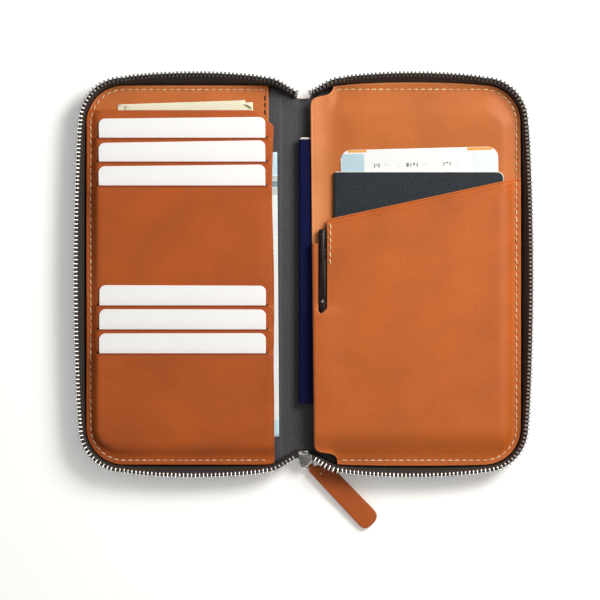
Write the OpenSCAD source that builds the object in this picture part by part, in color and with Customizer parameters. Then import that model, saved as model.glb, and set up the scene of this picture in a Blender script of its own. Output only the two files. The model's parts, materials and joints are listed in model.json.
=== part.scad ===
// Zip-around leather travel organizer, lying open on a table with its inside facing up.
// +X runs across the open width, +Y along the spine, +Z up from the table. The origin is the
// middle of the spine's outer face. All sizes are millimetres.

/* [Leather body] */
// Length of the leather body along the spine
body_len = 197; // [194:1:200]
// Distance from the spine's middle to each outer leather edge
half_w = 112.6; // [112:0.2:114]
// Radius of the four outer corners
corner_r = 20; // [16:1:24]
// Thickness of the outer shell leather
shell_t = 1.2; // [1:0.1:1.2]
// How far the body is cut in at each end of the spine
dip = 7.5; // [6:0.5:8]
// Half the width of that cut
dip_w = 20; // [18:1:22]

/* [Fold] */
// Distance from the spine's middle to each fold axis
hinge_x = 7.6; // [7.4:0.1:7.8]
// Gap between the pieces on either side of a fold
fold_gap = 0.3; // [0.2:0.1:0.4]

/* [Card slots] */
// Card width
card_w = 85.6; // [85.6:0.1:85.8]
// Card height
card_h = 54; // [53.9:0.1:54]
// Card thickness
card_t = 0.76; // [0.7:0.02:0.8]
// Distance from one slot to the next in a group of three
slot_pitch = 12.3; // [12:0.1:12.5]
// Height of each card that shows above its slot
card_show = 10; // [8:0.5:10.5]
// Angle at which the cards lean out of their slots, in degrees
card_tilt = 4; // [4:0.1:4.2]

/* [Zip] */
// Distance from one tooth to the next
tooth_pitch = 2.05; // [1.9:0.05:2.4]
// Tooth length, across the chain
tooth_l = 4; // [3.6:0.1:4]
// Tooth width, along the chain
tooth_w = 1.15; // [1:0.05:1.2]
// Tooth thickness
tooth_t = 2.2; // [2:0.1:2.2]
// Angle of the teeth above the table, in degrees
tooth_tilt = 41; // [38:1:41]
// Length of the leather pull tab
tab_l = 47; // [40:1:50]
// Width of the leather pull tab
tab_w = 10.2; // [9:0.1:11]
// Direction of the pull tab, in degrees from +X
tab_dir = -47; // [-55:1:-45]

/* [Contents] */
// Notebook width
notebook_w = 89; // [80:1:89]
// Notebook height
notebook_h = 137; // [130:1:140]
// Passport width
passport_w = 87.3; // [86:0.1:87.5]
// Passport height
passport_h = 125; // [120:1:125]
// Pen diameter
pen_d = 4.2; // [4:0.1:4.2]
// Pen length
pen_l = 86; // [80:1:90]

/* [Hidden] */

y_edge = body_len / 2;
leather = "#c4713a";
lining_grey = "#4f4d50";
metal = "#8d8984";
thread_cream = "#ead9b4";

// Layers, as [bottom, top]
left_board_z = [1.2, 2.0];
left_lining_z = [2.0, 2.4];
right_board_z = [1.2, 2.6];
right_lining_z = [2.6, 3.0];
spine_lining_z = [1.2, 1.6];
ticket_z = [2.5, 2.7];
back_panel_z = [2.9, 3.7];
banknote_z = [[3.76, 3.88], [3.91, 4.03]];
card_floor_z = [4.1, 4.25];
notebook_z = [3.9, 6.7];
inner_panel_z = [6.9, 7.9];
boarding_pass_z = [8.0, 8.25];
passport_z = [8.4, 10.4];
pocket_z = [10.55, 11.4];
rim_z = 1.9;            // underside of what is sewn over the zip tape
left_rim_top = 4.8;     // top of the sewn margin of the card panel
inner_rim_top = 4.2;    // top of the sewn margin of the right inner panel
pocket_rim_top = 5.2;   // top of the sewn margin of the passport pocket

// The margin that is sewn flat, from panel_in to margin_w inside the body's edge, and the wall
// where a panel rises out of it
panel_in = 0.7;
margin_w = 4;
wall_w = 1;
sheet_t = 0.7;          // leather of the card panel

// Left half
left_free_x = -15;      // free edge of the card panel
back_free_x = -18;      // edge of the back panel beside the spine
card_panel_top = 84.8;
card_cx = -62.4;        // middle of the cards
slot_end_gap = 0.9;     // between a card and each end of its slot
first_slot_y = 70.8;
group_drop = 86.2;      // from the first slot of one group to that of the next
slip = 0.12;            // play on each face of a card
lip_lift = card_t + sheet_t + 2 * slip;
slot_rise = lip_lift - slot_pitch * tan(card_tilt);   // from one slot to the next below it
base_level = 6.9;       // middle of the leather above the first slot of a group

// Right half
free_x = 4.7;           // free edge of the inner panel and the pocket
flap_y = 90.3;          // half the length of that free edge
notch_x = 15.5;         // where the panel is sewn beside the spine
pocket_left_y = 28.5;   // the pocket's slanting mouth, at its left end
pocket_right_y = 50.3;  // and at the outer edge
pen_x = 9.8;
pen_top_y = 23.5;
pen_z = inner_panel_z[1] + 0.15 + pen_d / 2;
pen_slot = [7.6, 12.0]; // the slot's two sides
pen_slot_low = -18.5;
pen_strip_y = 16.2;     // top of the narrow strip beside the slot

// Zip
tape_t = 0.5;
chain_z = 8.9;          // foot of the teeth along the sides
chain_low_z = 4.4;      // foot of the teeth at the spine
chain_bow = 2.5;        // how far the tape leans out at the middle of a side
chain_in = 0.4;         // and at a corner
chain_end_x = 12;       // where each chain leaves its half
slider_x = 0.8;
slider_y = -95.4;
post_r = 1.2;
ring_r = 3.3;
ring_wire = 0.45;
ring_z = 3.2;
ring_x = 1.4;           // from the post to the middle of the ring
tab_t = 2.1;

// Sewing
stitch_pitch = 3.6;
stitch_l = 2.5;
stitch_w = 0.6;
stitch_t = 0.35;
stitch_in = 3.5;        // from the edge to the line of stitches

// ---------------------------------------------------------------- outlines

// Points of an arc from angle a0 to a1
function arc(cx, cy, r, a0, a1, n = 8) =
    [for (i = [0:n]) let (a = a0 + (a1 - a0) * i / n) [cx + r * cos(a), cy + r * sin(a)]];

// The body's end edge, which is cut in at the spine
function edge_y(x) =
    abs(x) >= dip_w ? y_edge : y_edge - dip * (1 + cos(180 * x / dip_w)) / 2;
function edge_slope(x) =
    abs(x) >= dip_w ? 0 : atan(dip * sin(180 * x / dip_w) * PI / dip_w / 2);
function end_edge(x0, x1, inset = 0, n = 8) =
    [for (i = [0:n]) let (x = x0 + (x1 - x0) * i / n) [x, edge_y(x) - inset]];
function flipped(points) = [for (i = [len(points) - 1:-1:0]) [points[i][0], -points[i][1]]];

// One half of the body, from x0 outwards
function half_outline(x0, inset = 0) =
    let (top = concat(end_edge(x0, dip_w, inset),
        arc(half_w - corner_r, y_edge - corner_r, corner_r - inset, 90, 0)))
    concat(top, flipped(top));

// The right inner panel, which is notched at both ends of its free edge
function panel_end(inset) = [
    [free_x, flap_y - 4 - inset], [free_x + 1, flap_y - 1.5 - inset],
    [free_x + 3.5, flap_y - inset], [notch_x - 3, flap_y + 0.9 - inset],
    [notch_x - 0.6, flap_y + 2.6 - inset], [notch_x, flap_y + 4.5 - inset],
    [notch_x, edge_y(notch_x) - inset]];
function inner_panel_outline(inset = 0) =
    let (top = concat(panel_end(inset),
        arc(half_w - corner_r, y_edge - corner_r, corner_r - inset, 90, 0)))
    concat(top, flipped(top));

module plate(points, z) {
    translate([0, 0, z[0]])
        linear_extrude(z[1] - z[0])
            polygon(points);
}

// A flat piece with square corners, from [x0, y0] to [x1, y1]
module slab(x, y, z) {
    translate([x[0], y[0], z[0]])
        cube([x[1] - x[0], y[1] - y[0], z[1] - z[0]]);
}

// A flat piece with rounded corners of radius r
module rounded_slab(x, y, z, r) {
    plate(concat(
        arc(x[1] - r, y[1] - r, r, 90, 0, 6), arc(x[1] - r, y[0] + r, r, 0, -90, 6),
        arc(x[0] + r, y[0] + r, r, -90, -180, 6), arc(x[0] + r, y[1] - r, r, 180, 90, 6)), z);
}

module left() {
    mirror([1, 0, 0])
        children();
}

// ---------------------------------------------------------------- shell and linings

module half_shell() {
    plate(half_outline(hinge_x + fold_gap / 2), [0, shell_t]);
}

module outer_shell_left() {
    color(leather)
        left()
            half_shell();
}

module outer_shell_right() {
    color(leather)
        half_shell();
}

module spine_strip(z, inset) {
    side = hinge_x - fold_gap / 2;
    top = end_edge(-side, side, inset, 12);
    plate(concat(top, flipped(top)), z);
}

module outer_shell_spine() {
    color(leather)
        spine_strip([0, shell_t], 0);
}

module spine_lining() {
    color(lining_grey)
        spine_strip(spine_lining_z, 1.2);
}

board_x = 12.2;
board_inset = 6;

module left_board() {
    color("#6b6660")
        left()
            plate(half_outline(board_x, board_inset), left_board_z);
}

module right_board() {
    color("#6b6660")
        plate(half_outline(board_x, board_inset), right_board_z);
}

// Lining of one half: over the board, and down to the shell beside the spine
module half_lining(z) {
    fold = hinge_x + fold_gap / 2;
    plate(half_outline(board_x - 0.8, board_inset), z);
    top = end_edge(fold, board_x, 5);
    plate(concat([for (p = top) [min(p[0], board_x - 0.2), p[1]]],
        flipped([for (p = top) [min(p[0], board_x - 0.2), p[1]]])),
        [spine_lining_z[0], spine_lining_z[1]]);
    slab([board_x - 1, board_x - 0.2], [5 - y_edge + dip, y_edge - dip - 5], [shell_t, z[1]]);
}

module left_lining() {
    color(lining_grey)
        left()
            half_lining(left_lining_z);
}

module right_lining() {
    color(lining_grey)
        half_lining(right_lining_z);
}

// ---------------------------------------------------------------- left panels

// A ring that follows the body's outline between two insets
module margin_ring(outer, inner, z, x0) {
    difference() {
        plate(half_outline(x0, outer), z);
        plate(half_outline(x0 - 1, inner), [z[0] - 1, z[1] + 1]);
    }
}

module left_back_panel() {
    color(leather)
        left() {
            plate(half_outline(-back_free_x, panel_in), back_panel_z);
            margin_ring(panel_in, margin_w, [rim_z, back_panel_z[0]], -back_free_x);
        }
}

// The slots: a card comes out between the leather above (at upper_level) and the lip below it
function slot_y(k) = first_slot_y - (k % 3) * slot_pitch - (k < 3 ? 0 : group_drop);
function upper_level(k) = base_level + (k % 3) * slot_rise;
function lip_level(k) = upper_level(k) + lip_lift;

// A strip of leather between two points of the panel's profile, each [y, level]
module strip(a, b) {
    x0 = -half_w + margin_w;
    translate([x0, 0, 0])
        rotate([90, 0, 90])
            linear_extrude(left_free_x - x0)
                polygon([[a[0], a[1] - sheet_t / 2], [a[0], a[1] + sheet_t / 2],
                    [b[0], b[1] + sheet_t / 2], [b[0], b[1] - sheet_t / 2]]);
}

slot_gap = 0.3;         // half the slot's own width
low_field = [[-86, 8.3], [-y_edge + margin_w, 6.0]];

// The panel's leather from slot to slot, with each slot open over the cards' width
module card_panel_strips() {
    strip([card_panel_top, base_level - 0.6], [slot_y(0) + slot_gap, upper_level(0)]);
    for (k = [0:4])
        strip([slot_y(k) - slot_gap, lip_level(k)],
            [slot_y(k + 1) + slot_gap, upper_level(k + 1)]);
    strip([slot_y(5) - slot_gap, lip_level(5)], low_field[0]);
    strip(low_field[0], low_field[1]);
    for (k = [0:5]) {
        bridge_y = [slot_y(k) - 1, slot_y(k) + 1];
        bridge_z = [upper_level(k) - sheet_t / 2, lip_level(k) + sheet_t / 2];
        slab([card_cx + card_w / 2 + slot_end_gap, left_free_x], bridge_y, bridge_z);
        slab([-half_w + margin_w, card_cx - card_w / 2 - slot_end_gap], bridge_y, bridge_z);
    }
}

// Height of the panel's middle at y, for the wall that joins it to its sewn margin
wall_profile = concat(
    [[card_panel_top, base_level - 0.6]],
    [for (k = [0:5]) each [[slot_y(k) + slot_gap, upper_level(k)],
        [slot_y(k) - slot_gap, lip_level(k)]]],
    low_field);

module card_panel() {
    color(leather)
        difference() {
            union() {
                intersection() {
                    card_panel_strips();
                    left()
                        plate(half_outline(-left_free_x, margin_w), [0, 20]);
                }
                intersection() {
                    left()
                        margin_ring(margin_w - 0.2, margin_w + wall_w, [3.8, 20], -left_free_x);
                    translate([-half_w, 0, 0])
                        rotate([90, 0, 90])
                            linear_extrude(half_w)
                                polygon(concat(
                                    [for (p = wall_profile) [p[0], p[1] + sheet_t / 2]],
                                    [[-y_edge, 6.0], [-y_edge, 3.8], [card_panel_top, 3.8]]));
                }
                intersection() {
                    left()
                        margin_ring(panel_in, margin_w, [3.8, left_rim_top], -left_free_x);
                    slab([-half_w, left_free_x], [-y_edge, card_panel_top], [3, 6]);
                }
            }
            // the slanting corner beside the spine
            translate([0, 0, 3])
                linear_extrude(10)
                    polygon([[-27.6, card_panel_top + 1], [-27.6, card_panel_top],
                        [left_free_x, 74], [left_free_x + 1, 74],
                        [left_free_x + 1, card_panel_top + 1]]);
        }
}

module card_pocket(k) {
    low = slot_y(k + 2) + card_show - card_h - 0.6;
    color(lining_grey)
        slab([card_cx - card_w / 2 - 1, card_cx + card_w / 2 + 1],
            [low, slot_y(k) - 2], card_floor_z);
}

module card_pocket_upper() {
    card_pocket(0);
}

module card_pocket_lower() {
    card_pocket(3);
}

// ---------------------------------------------------------------- right panels

module right_inner_panel() {
    color(leather) {
        plate(inner_panel_outline(margin_w + wall_w), inner_panel_z);
        intersection() {
            plate(inner_panel_outline(), [0, 20]);
            union() {
                slab([free_x, 25], [-flap_y + 4, flap_y - 4], inner_panel_z);
                margin_ring(margin_w + wall_w, margin_w + 2 * wall_w,
                    [rim_z, inner_panel_z[1]], notch_x);
                margin_ring(panel_in, margin_w + wall_w + 0.2, [rim_z, inner_rim_top], notch_x);
            }
        }
    }
}

// The pocket's slanting mouth is the top of this shape
function mouth_y(x) =
    pocket_left_y + (pocket_right_y - pocket_left_y) * (x - pen_slot[1]) / (half_w - pen_slot[1]);
pocket_face = concat(
    [[free_x, pen_strip_y], [pen_slot[0], pen_strip_y], [pen_slot[0], pen_slot_low],
        [pen_slot[0] + 1.4, pen_slot_low - 1.6], [pen_slot[1] - 0.8, pen_slot_low + 0.4],
        [pen_slot[1], pen_slot_low + 1.6], [pen_slot[1], mouth_y(pen_slot[1]) - 2.5],
        [pen_slot[1] + 0.7, mouth_y(pen_slot[1]) - 0.6],
        [pen_slot[1] + 2.4, mouth_y(pen_slot[1] + 2.4)], [half_w, pocket_right_y],
        [half_w, -y_edge], [free_x, -y_edge]]);

module passport_pocket() {
    pen_low = pen_top_y - pen_l - 4;
    color(leather) {
        difference() {
            union() {
                intersection() {
                    plate(pocket_face, pocket_z);
                    union() {
                        plate(inner_panel_outline(margin_w), [0, 20]);
                        slab([free_x, 25], [-flap_y + 4, flap_y], [0, 20]);
                    }
                }
                // the raised channel over the hidden part of the pen
                intersection() {
                    translate([pen_x, pen_low, pen_z])
                        rotate([-90, 0, 0])
                            cylinder(r = pen_d / 2 + 1, h = pen_slot_low - 1.6 - pen_low, $fn = 48);
                    slab([0, 20], [-90, 90], [pocket_z[0], 20]);
                }
            }
            translate([pen_x, pen_low - 1, pen_z])
                rotate([-90, 0, 0])
                    cylinder(r = pen_d / 2 + 0.15, h = pen_l + 20, $fn = 48);
        }
        // walls and sewn margin along the outer side and the bottom
        intersection() {
            margin_ring(margin_w - 0.2, margin_w + wall_w - 0.2,
                [inner_rim_top + 0.1, pocket_z[1]], notch_x);
            plate(pocket_face, [0, 20]);
        }
        intersection() {
            margin_ring(panel_in, margin_w, [inner_rim_top + 0.1, pocket_rim_top], notch_x);
            plate(pocket_face, [0, 20]);
        }
        // the turned edge that closes the pocket beside the spine
        slab([free_x, free_x + 1], [-flap_y + 4, pen_strip_y],
            [inner_panel_z[1], pocket_z[0] + 0.1]);
    }
}

// ---------------------------------------------------------------- zip

// The body's edge as stations: [x, y, outward angle, lean], where lean is 0 at the corners
function lean(t) = pow(max(sin(180 * t), 0), 0.7);
function zip_end(x) = [x, edge_y(x), 90 + edge_slope(x), 0];
top_from = dip_w;
top_to = half_w - corner_r;
side_to = y_edge - corner_r;
function zip_top(n) =
    [for (i = [0:n]) [top_from + (top_to - top_from) * i / n, y_edge, 90, lean(i / n)]];
function zip_corner(n) =
    [for (i = [1:n - 1]) let (a = 90 - 90 * i / n)
        [top_to + corner_r * cos(a), side_to + corner_r * sin(a), a, 0]];
function zip_side(n) =
    [for (i = [0:n]) [half_w, side_to * (1 - 2 * i / n), 0, lean(i / n)]];
function below(list) =
    [for (i = [len(list) - 1:-1:0]) [list[i][0], -list[i][1], -list[i][2], list[i][3]]];
function zip_stations(n) =
    let (end = [for (i = [0:2]) zip_end(chain_end_x + (dip_w - chain_end_x) * i / 3)],
        top = concat(end, zip_top(n), zip_corner(n)))
    concat(top, zip_side(2 * n), below(top));

// Height of the teeth's feet, which drops towards the spine
function foot_z(x) =
    let (t = min(max((14 - abs(x)) / 10, 0), 1))
    chain_z - (chain_z - chain_low_z) * t * t * (3 - 2 * t);

// The tape's section at a station, outwards and up
function tape_section(s) =
    let (o = chain_in + chain_bow * s[3], z = foot_z(s[0]))
    [[-4, 1.3], [0, 1.3], [o + tape_t / 2, z - 0.5], [o - tape_t / 2, z - 0.2],
        [-tape_t, 1.8], [-4, 1.8]];
function placed(s, p) = [s[0] + p[0] * cos(s[2]), s[1] + p[0] * sin(s[2]), p[1]];

// A solid through a section at each station
module sweep(stations) {
    m = 6;
    n = len(stations);
    points = [for (s = stations) each [for (p = tape_section(s)) placed(s, p)]];
    sides = [for (i = [0:n - 2], j = [0:m - 1])
        let (a = i * m + j, b = i * m + (j + 1) % m) each [[a, b, b + m], [a, b + m, a + m]]];
    start = [for (j = [1:m - 2]) [0, j + 1, j]];
    end = [for (j = [1:m - 2]) [(n - 1) * m, (n - 1) * m + j, (n - 1) * m + j + 1]];
    polyhedron(points, concat(sides, start, end));
}

module half_zip_tape() {
    sweep(zip_stations(10));
}

module left_zip_tape() {
    color("#2b2827")
        left()
            half_zip_tape();
}

module right_zip_tape() {
    color("#2b2827")
        half_zip_tape();
}

// The chain's foot line, as [distance along it, value] tables that lookup() reads
chain_line = [for (s = zip_stations(20)) [
    s[0] + (chain_in + chain_bow * s[3]) * cos(s[2]),
    s[1] + (chain_in + chain_bow * s[3]) * sin(s[2]), foot_z(s[0]), s[2]]];
function running(line, i = 0, total = 0) =
    i == len(line) ? [] : let (d = i == 0 ? 0 : norm([line[i][0] - line[i - 1][0],
        line[i][1] - line[i - 1][1]])) concat([total + d], running(line, i + 1, total + d));
chain_at = running(chain_line);
chain_len = chain_at[len(chain_at) - 1];
function table(column) = [for (i = [0:len(chain_at) - 1]) [chain_at[i], chain_line[i][column]]];
chain_x = table(0);
chain_y = table(1);
chain_h = table(2);
chain_a = table(3);

module tooth() {
    translate([0.05, -tooth_w / 2, -tooth_t / 2])
        cube([tooth_l, tooth_w, tooth_t]);
}

// Teeth of one half; the other half's are moved by half a pitch
module half_teeth(shift) {
    for (d = [tooth_w / 2 + shift:tooth_pitch:chain_len - tooth_w / 2])
        translate([lookup(d, chain_x), lookup(d, chain_y), lookup(d, chain_h)])
            rotate([0, -tooth_tilt, lookup(d, chain_a)])
                tooth();
}

module left_zip_teeth() {
    color(metal)
        left()
            half_teeth(tooth_pitch / 2);
}

module right_zip_teeth() {
    color(metal)
        half_teeth(0);
}

// Each chain's last teeth, which go with the spine: four ends alike
end_teeth_x = [6.2, 8.2];
stop_x = 4.1;
end_lift = 0.12;        // how much the teeth's feet rise, per mm away from the spine's middle
stop_z = [4.3, 6.9];

module four_ends() {
    for (sx = [0, 1], sy = [0, 1])
        mirror([sx, 0, 0])
            mirror([0, sy, 0])
                children();
}

module zip_tape_ends() {
    foot_end = hinge_x - fold_gap;
    color("#2b2827") {
        four_ends()
            translate([stop_x, edge_y(stop_x), 0])
                rotate([0, 0, edge_slope(stop_x + 2)]) {
                    slab([-0.8, foot_end - stop_x], [-0.4, 0.1], [shell_t, 2.3]);
                    slab([-0.8, 5.6], [-0.4, 0.1], [2.2, chain_low_z - 0.2]);
                }
        slab([slider_x - 1.6, slider_x + 1.6], [0.05 - edge_y(0), 0.5 - edge_y(0)],
            [shell_t, stop_z[0]]);
    }
}

module zip_teeth_ends() {
    color(metal)
        four_ends()
            for (x = end_teeth_x)
                translate([x, edge_y(x) + 0.2, chain_low_z + end_lift * (x - stop_x)])
                    rotate([0, -tooth_tilt, 90 + edge_slope(x)])
                        tooth();
}

module zip_top_stops() {
    color(metal)
        for (sx = [0, 1])
            mirror([sx, 0, 0])
                translate([stop_x, edge_y(stop_x) + 0.2, chain_low_z])
                    rotate([0, -tooth_tilt, 90 + edge_slope(stop_x)])
                        translate([0.3, -0.8, -1.3])
                            cube([3.2, 1.6, 2.6]);
}

// The stop that the open slider rests against
module zip_bottom_stop() {
    color(metal)
        slab([slider_x - 1.5, slider_x + 1.5], [-92, 0.6 - edge_y(0)], stop_z);
}

// Slider: two wings on a wedge, with a post for the ring under it
wing_w = 6.2;
wing_l = 6.4;
wing_z = [[4.45, 5.15], [7.05, 7.75]];
wing = concat(
    arc(wing_w / 2 - 1.2, -wing_l / 2 + 1.2, 1.2, 0, -90, 4),
    arc(-wing_w / 2 + 1.2, -wing_l / 2 + 1.2, 1.2, -90, -180, 4),
    [[-wing_w / 2, 0.6], [-1.6, wing_l / 2], [1.6, wing_l / 2], [wing_w / 2, 0.6]]);

module zip_slider() {
    color(metal)
        translate([slider_x, slider_y, 0]) {
            plate(wing, wing_z[0]);
            plate(wing, wing_z[1]);
            plate([[-1.1, wing_l / 2 - 0.4], [1.1, wing_l / 2 - 0.4], [0.5, -1.6], [-0.5, -1.6]],
                [wing_z[0][1] - 0.1, wing_z[1][0] + 0.1]);
            translate([0, 0, 2.2])
                cylinder(r = post_r, h = wing_z[0][0] - 2.1, $fn = 48);
            translate([0, 0, 1.7])
                cylinder(r = post_r + 0.9, h = 0.6, $fn = 48);
        }
}

// ---------------------------------------------------------------- pull

module pull_frame() {
    translate([slider_x, slider_y, 0])
        rotate([0, 0, tab_dir])
            children();
}

module ring_shape(wire) {
    translate([ring_x, 0, ring_z])
        rotate_extrude($fn = 64)
            translate([ring_r, 0])
                circle(r = wire, $fn = 32);
}

module pull_ring() {
    color(metal)
        pull_frame()
            ring_shape(ring_wire);
}

pivot_x = ring_x + ring_r;      // where the ring carries the tab
tongue_w = 2.6;
shoulder_x = pivot_x + 1.5;
tab_slope = 2.3;
tab_outline = concat(
    [[pivot_x - 1.3, tongue_w / 2], [shoulder_x, tongue_w / 2], [shoulder_x, tongue_w],
        [shoulder_x + 2.2, tab_w / 2]],
    arc(tab_l - 4, tab_w / 2 - 4, 4, 90, 0, 8),
    arc(tab_l - 4, -tab_w / 2 + 4, 4, 0, -90, 8),
    [[shoulder_x + 2.2, -tab_w / 2], [shoulder_x, -tongue_w], [shoulder_x, -tongue_w / 2],
        [pivot_x - 1.3, -tongue_w / 2]]);

module on_tab() {
    pull_frame()
        translate([0, 0, ring_z - tab_t / 2 + 0.05])
            rotate([0, tab_slope, 0])
                children();
}

module pull_tab() {
    color(leather)
        difference() {
            on_tab()
                plate(tab_outline, [0, tab_t]);
            pull_frame()
                translate([pivot_x, tab_w / 2, ring_z])
                    rotate([90, 0, 0])
                        cylinder(r = ring_wire + 0.33, h = tab_w, $fn = 48);
        }
}

module pull_tab_stitches() {
    color(thread_cream)
        on_tab()
            for (v = [-1.3, 1.3])
                translate([shoulder_x + 3.4, v - 0.8, tab_t])
                    cube([stitch_w, 1.6, stitch_t]);
}

// ---------------------------------------------------------------- stitches

// Stitches along a polyline of [x, y] points, one every stitch_pitch
module stitches_along(line, z) {
    at = running([for (p = line) [p[0], p[1], 0]]);
    xs = [for (i = [0:len(at) - 1]) [at[i], line[i][0]]];
    ys = [for (i = [0:len(at) - 1]) [at[i], line[i][1]]];
    total = at[len(at) - 1];
    for (d = [stitch_pitch / 2:stitch_pitch:total - stitch_pitch / 2]) {
        ahead = [lookup(d + 0.5, xs) - lookup(d - 0.5, xs), lookup(d + 0.5, ys) - lookup(d - 0.5, ys)];
        translate([lookup(d, xs), lookup(d, ys), z])
            rotate([0, 0, atan2(ahead[1], ahead[0])])
                translate([-stitch_l / 2, -stitch_w / 2, 0])
                    cube([stitch_l, stitch_w, stitch_t]);
    }
}

// The sewn line of one half, clockwise from the spine's top end at x0
function sewn_line(x0, inset) =
    let (top = concat([[x0, edge_y(x0) - inset], [dip_w, y_edge - inset]],
        arc(half_w - corner_r, y_edge - corner_r, corner_r - inset, 90, 0, 12)))
    concat(top, flipped(top));

// The part of a line above (keep = 1) or below (keep = -1) a height in y
function part_of(line, y, keep) = [for (p = line) if ((p[1] - y) * keep > 0) p];

module left_stitching() {
    line = sewn_line(-back_free_x + 1.8, stitch_in - 0.5);
    side_x = half_w - stitch_in + 0.5;
    color(thread_cream)
        left() {
            stitches_along(concat(part_of(line, card_panel_top, 1), [[side_x, card_panel_top + 1]]),
                back_panel_z[1]);
            stitches_along(concat([[side_x, card_panel_top - 5]],
                part_of(line, card_panel_top - 5, -1)), left_rim_top);
            stitches_along([[-back_free_x + 1.8, 93], [-back_free_x + 1.8, 82]], back_panel_z[1]);
        }
}

module right_stitching() {
    line = sewn_line(notch_x + 1.5, stitch_in - 0.5);
    side_x = half_w - stitch_in + 0.5;
    mouth = mouth_y(side_x);
    color(thread_cream) {
        stitches_along(concat(part_of(line, mouth, 1), [[side_x, mouth + 0.5]]), inner_rim_top);
        stitches_along(concat([[side_x, mouth - 1]], part_of(line, mouth, -1)), pocket_rim_top);
    }
}

module pocket_stitching() {
    color(thread_cream)
        stitches_along([[pen_slot[1] + 1.9, 26.6], [pen_slot[1] + 1.5, 3.0]], pocket_z[1]);
}

// ---------------------------------------------------------------- contents

card_r = 3.2;

// Card k stands in slot k: its centre line passes through the slot and rises with card_tilt
module card(k) {
    color("white")
        translate([card_cx, slot_y(k), upper_level(k) + sheet_t / 2 + slip + card_t / 2])
            rotate([card_tilt, 0, 0])
                rounded_slab([-card_w / 2, card_w / 2], [card_show - card_h, card_show],
                    [-card_t / 2, card_t / 2], card_r);
}

module banknote_rear() {
    color("#efe9cf")
        slab([-95.8, -30], [-50, 90.1], banknote_z[0]);
}

module banknote_front() {
    color("#e6e0c0")
        slab([-92, -26.1], [-51, 89.0], banknote_z[1]);
}

module ticket() {
    color("#dfeef4")
        slab([-87.6, -12.6], [-83.4, 63.4], ticket_z);
}

notebook_x = -2.4;
notebook_y = -66.2;
notebook_wall = 0.4;

module notebook_cover() {
    x = [notebook_x, notebook_x + notebook_w];
    y = [notebook_y, notebook_y + notebook_h];
    color("#1c2350") {
        slab(x, y, [notebook_z[0], notebook_z[0] + notebook_wall]);
        slab(x, y, [notebook_z[1] - notebook_wall, notebook_z[1]]);
        slab([x[0], x[0] + notebook_wall], y, notebook_z);
    }
}

module notebook_pages() {
    color("#f2efe6")
        slab([notebook_x + notebook_wall + 0.05, notebook_x + notebook_w - 1],
            [notebook_y + 1, notebook_y + notebook_h - 1],
            [notebook_z[0] + notebook_wall + 0.05, notebook_z[1] - notebook_wall - 0.05]);
}

pass_x = [18.7, 100];
pass_l = 152;
pass_top = 65.1;

module boarding_pass() {
    color("#f6f7f8")
        translate([(pass_x[0] + pass_x[1]) / 2, pass_top, 0])
            rotate([0, 0, 1.4])
                rounded_slab([(pass_x[0] - pass_x[1]) / 2, (pass_x[1] - pass_x[0]) / 2],
                    [-pass_l, 0], boarding_pass_z, 4.5);
}

passport_x = 15.5;
passport_top = 53;
passport_wall = 0.4;

module passport_cover() {
    x = [passport_x, passport_x + passport_w];
    y = [passport_top - passport_h, passport_top];
    color("#333c44") {
        rounded_slab(x, y, [passport_z[0], passport_z[0] + passport_wall], 3);
        rounded_slab(x, y, [passport_z[1] - passport_wall, passport_z[1]], 3);
        slab([x[0], x[0] + passport_wall], [y[0] + 3, y[1] - 3], passport_z);
    }
}

module passport_pages() {
    color("#f2efe6")
        rounded_slab([passport_x + passport_wall + 0.05, passport_x + passport_w - 1],
            [passport_top - passport_h + 1, passport_top - 1],
            [passport_z[0] + passport_wall + 0.05, passport_z[1] - passport_wall - 0.05], 3);
}

// Pen: it lies along Y, with its cap at the top
cap_l = 12;
tip_l = 9;

module along_pen(y0, r1, r2, h) {
    translate([pen_x, y0, pen_z])
        rotate([90, 0, 0])
            cylinder(r1 = r1, r2 = r2, h = h, $fn = 48);
}

module pen_cap() {
    color("#1b1a1a") {
        along_pen(pen_top_y, pen_d / 2 - 0.3, pen_d / 2, 0.6);
        along_pen(pen_top_y - 0.6, pen_d / 2, pen_d / 2, cap_l - 0.6);
    }
}

module pen_barrel() {
    color("#1b1a1a")
        along_pen(pen_top_y - cap_l, pen_d / 2 - 0.05, pen_d / 2 - 0.05, pen_l - cap_l - tip_l);
}

module pen_tip() {
    color(metal)
        along_pen(pen_top_y - pen_l + tip_l, pen_d / 2 - 0.15, 0.5, tip_l);
}

module pen_clip() {
    clip_top = pen_top_y - 2;
    color("#26231f") {
        slab([pen_x - 0.9, pen_x + 0.9], [clip_top - 38, clip_top],
            [pen_z + pen_d / 2 + 0.1, pen_z + pen_d / 2 + 0.6]);
        slab([pen_x - 0.9, pen_x + 0.9], [clip_top - 2, clip_top],
            [pen_z + pen_d / 2 - 0.15, pen_z + pen_d / 2 + 0.15]);
    }
}

// ---------------------------------------------------------------- nodes

outer_shell_left();
outer_shell_spine();
outer_shell_right();
left_board();
right_board();
left_lining();
spine_lining();
right_lining();
left_back_panel();
card_panel();
card_pocket_upper();
card_pocket_lower();
right_inner_panel();
passport_pocket();
left_zip_tape();
right_zip_tape();
left_zip_teeth();
right_zip_teeth();
zip_tape_ends();
zip_teeth_ends();
zip_top_stops();
zip_bottom_stop();
zip_slider();
pull_ring();
pull_tab();
pull_tab_stitches();
left_stitching();
right_stitching();
pocket_stitching();
card(0);  // card_1
card(1);  // card_2
card(2);  // card_3
card(3);  // card_4
card(4);  // card_5
card(5);  // card_6
banknote_front();
banknote_rear();
ticket();
notebook_cover();
notebook_pages();
boarding_pass();
passport_cover();
passport_pages();
pen_barrel();
pen_cap();
pen_clip();
pen_tip();
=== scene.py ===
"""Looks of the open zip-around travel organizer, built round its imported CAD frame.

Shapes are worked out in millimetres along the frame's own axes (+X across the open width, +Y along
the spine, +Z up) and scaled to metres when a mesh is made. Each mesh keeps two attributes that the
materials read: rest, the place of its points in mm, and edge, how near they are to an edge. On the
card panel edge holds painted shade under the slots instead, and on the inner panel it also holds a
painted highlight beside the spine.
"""

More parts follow.
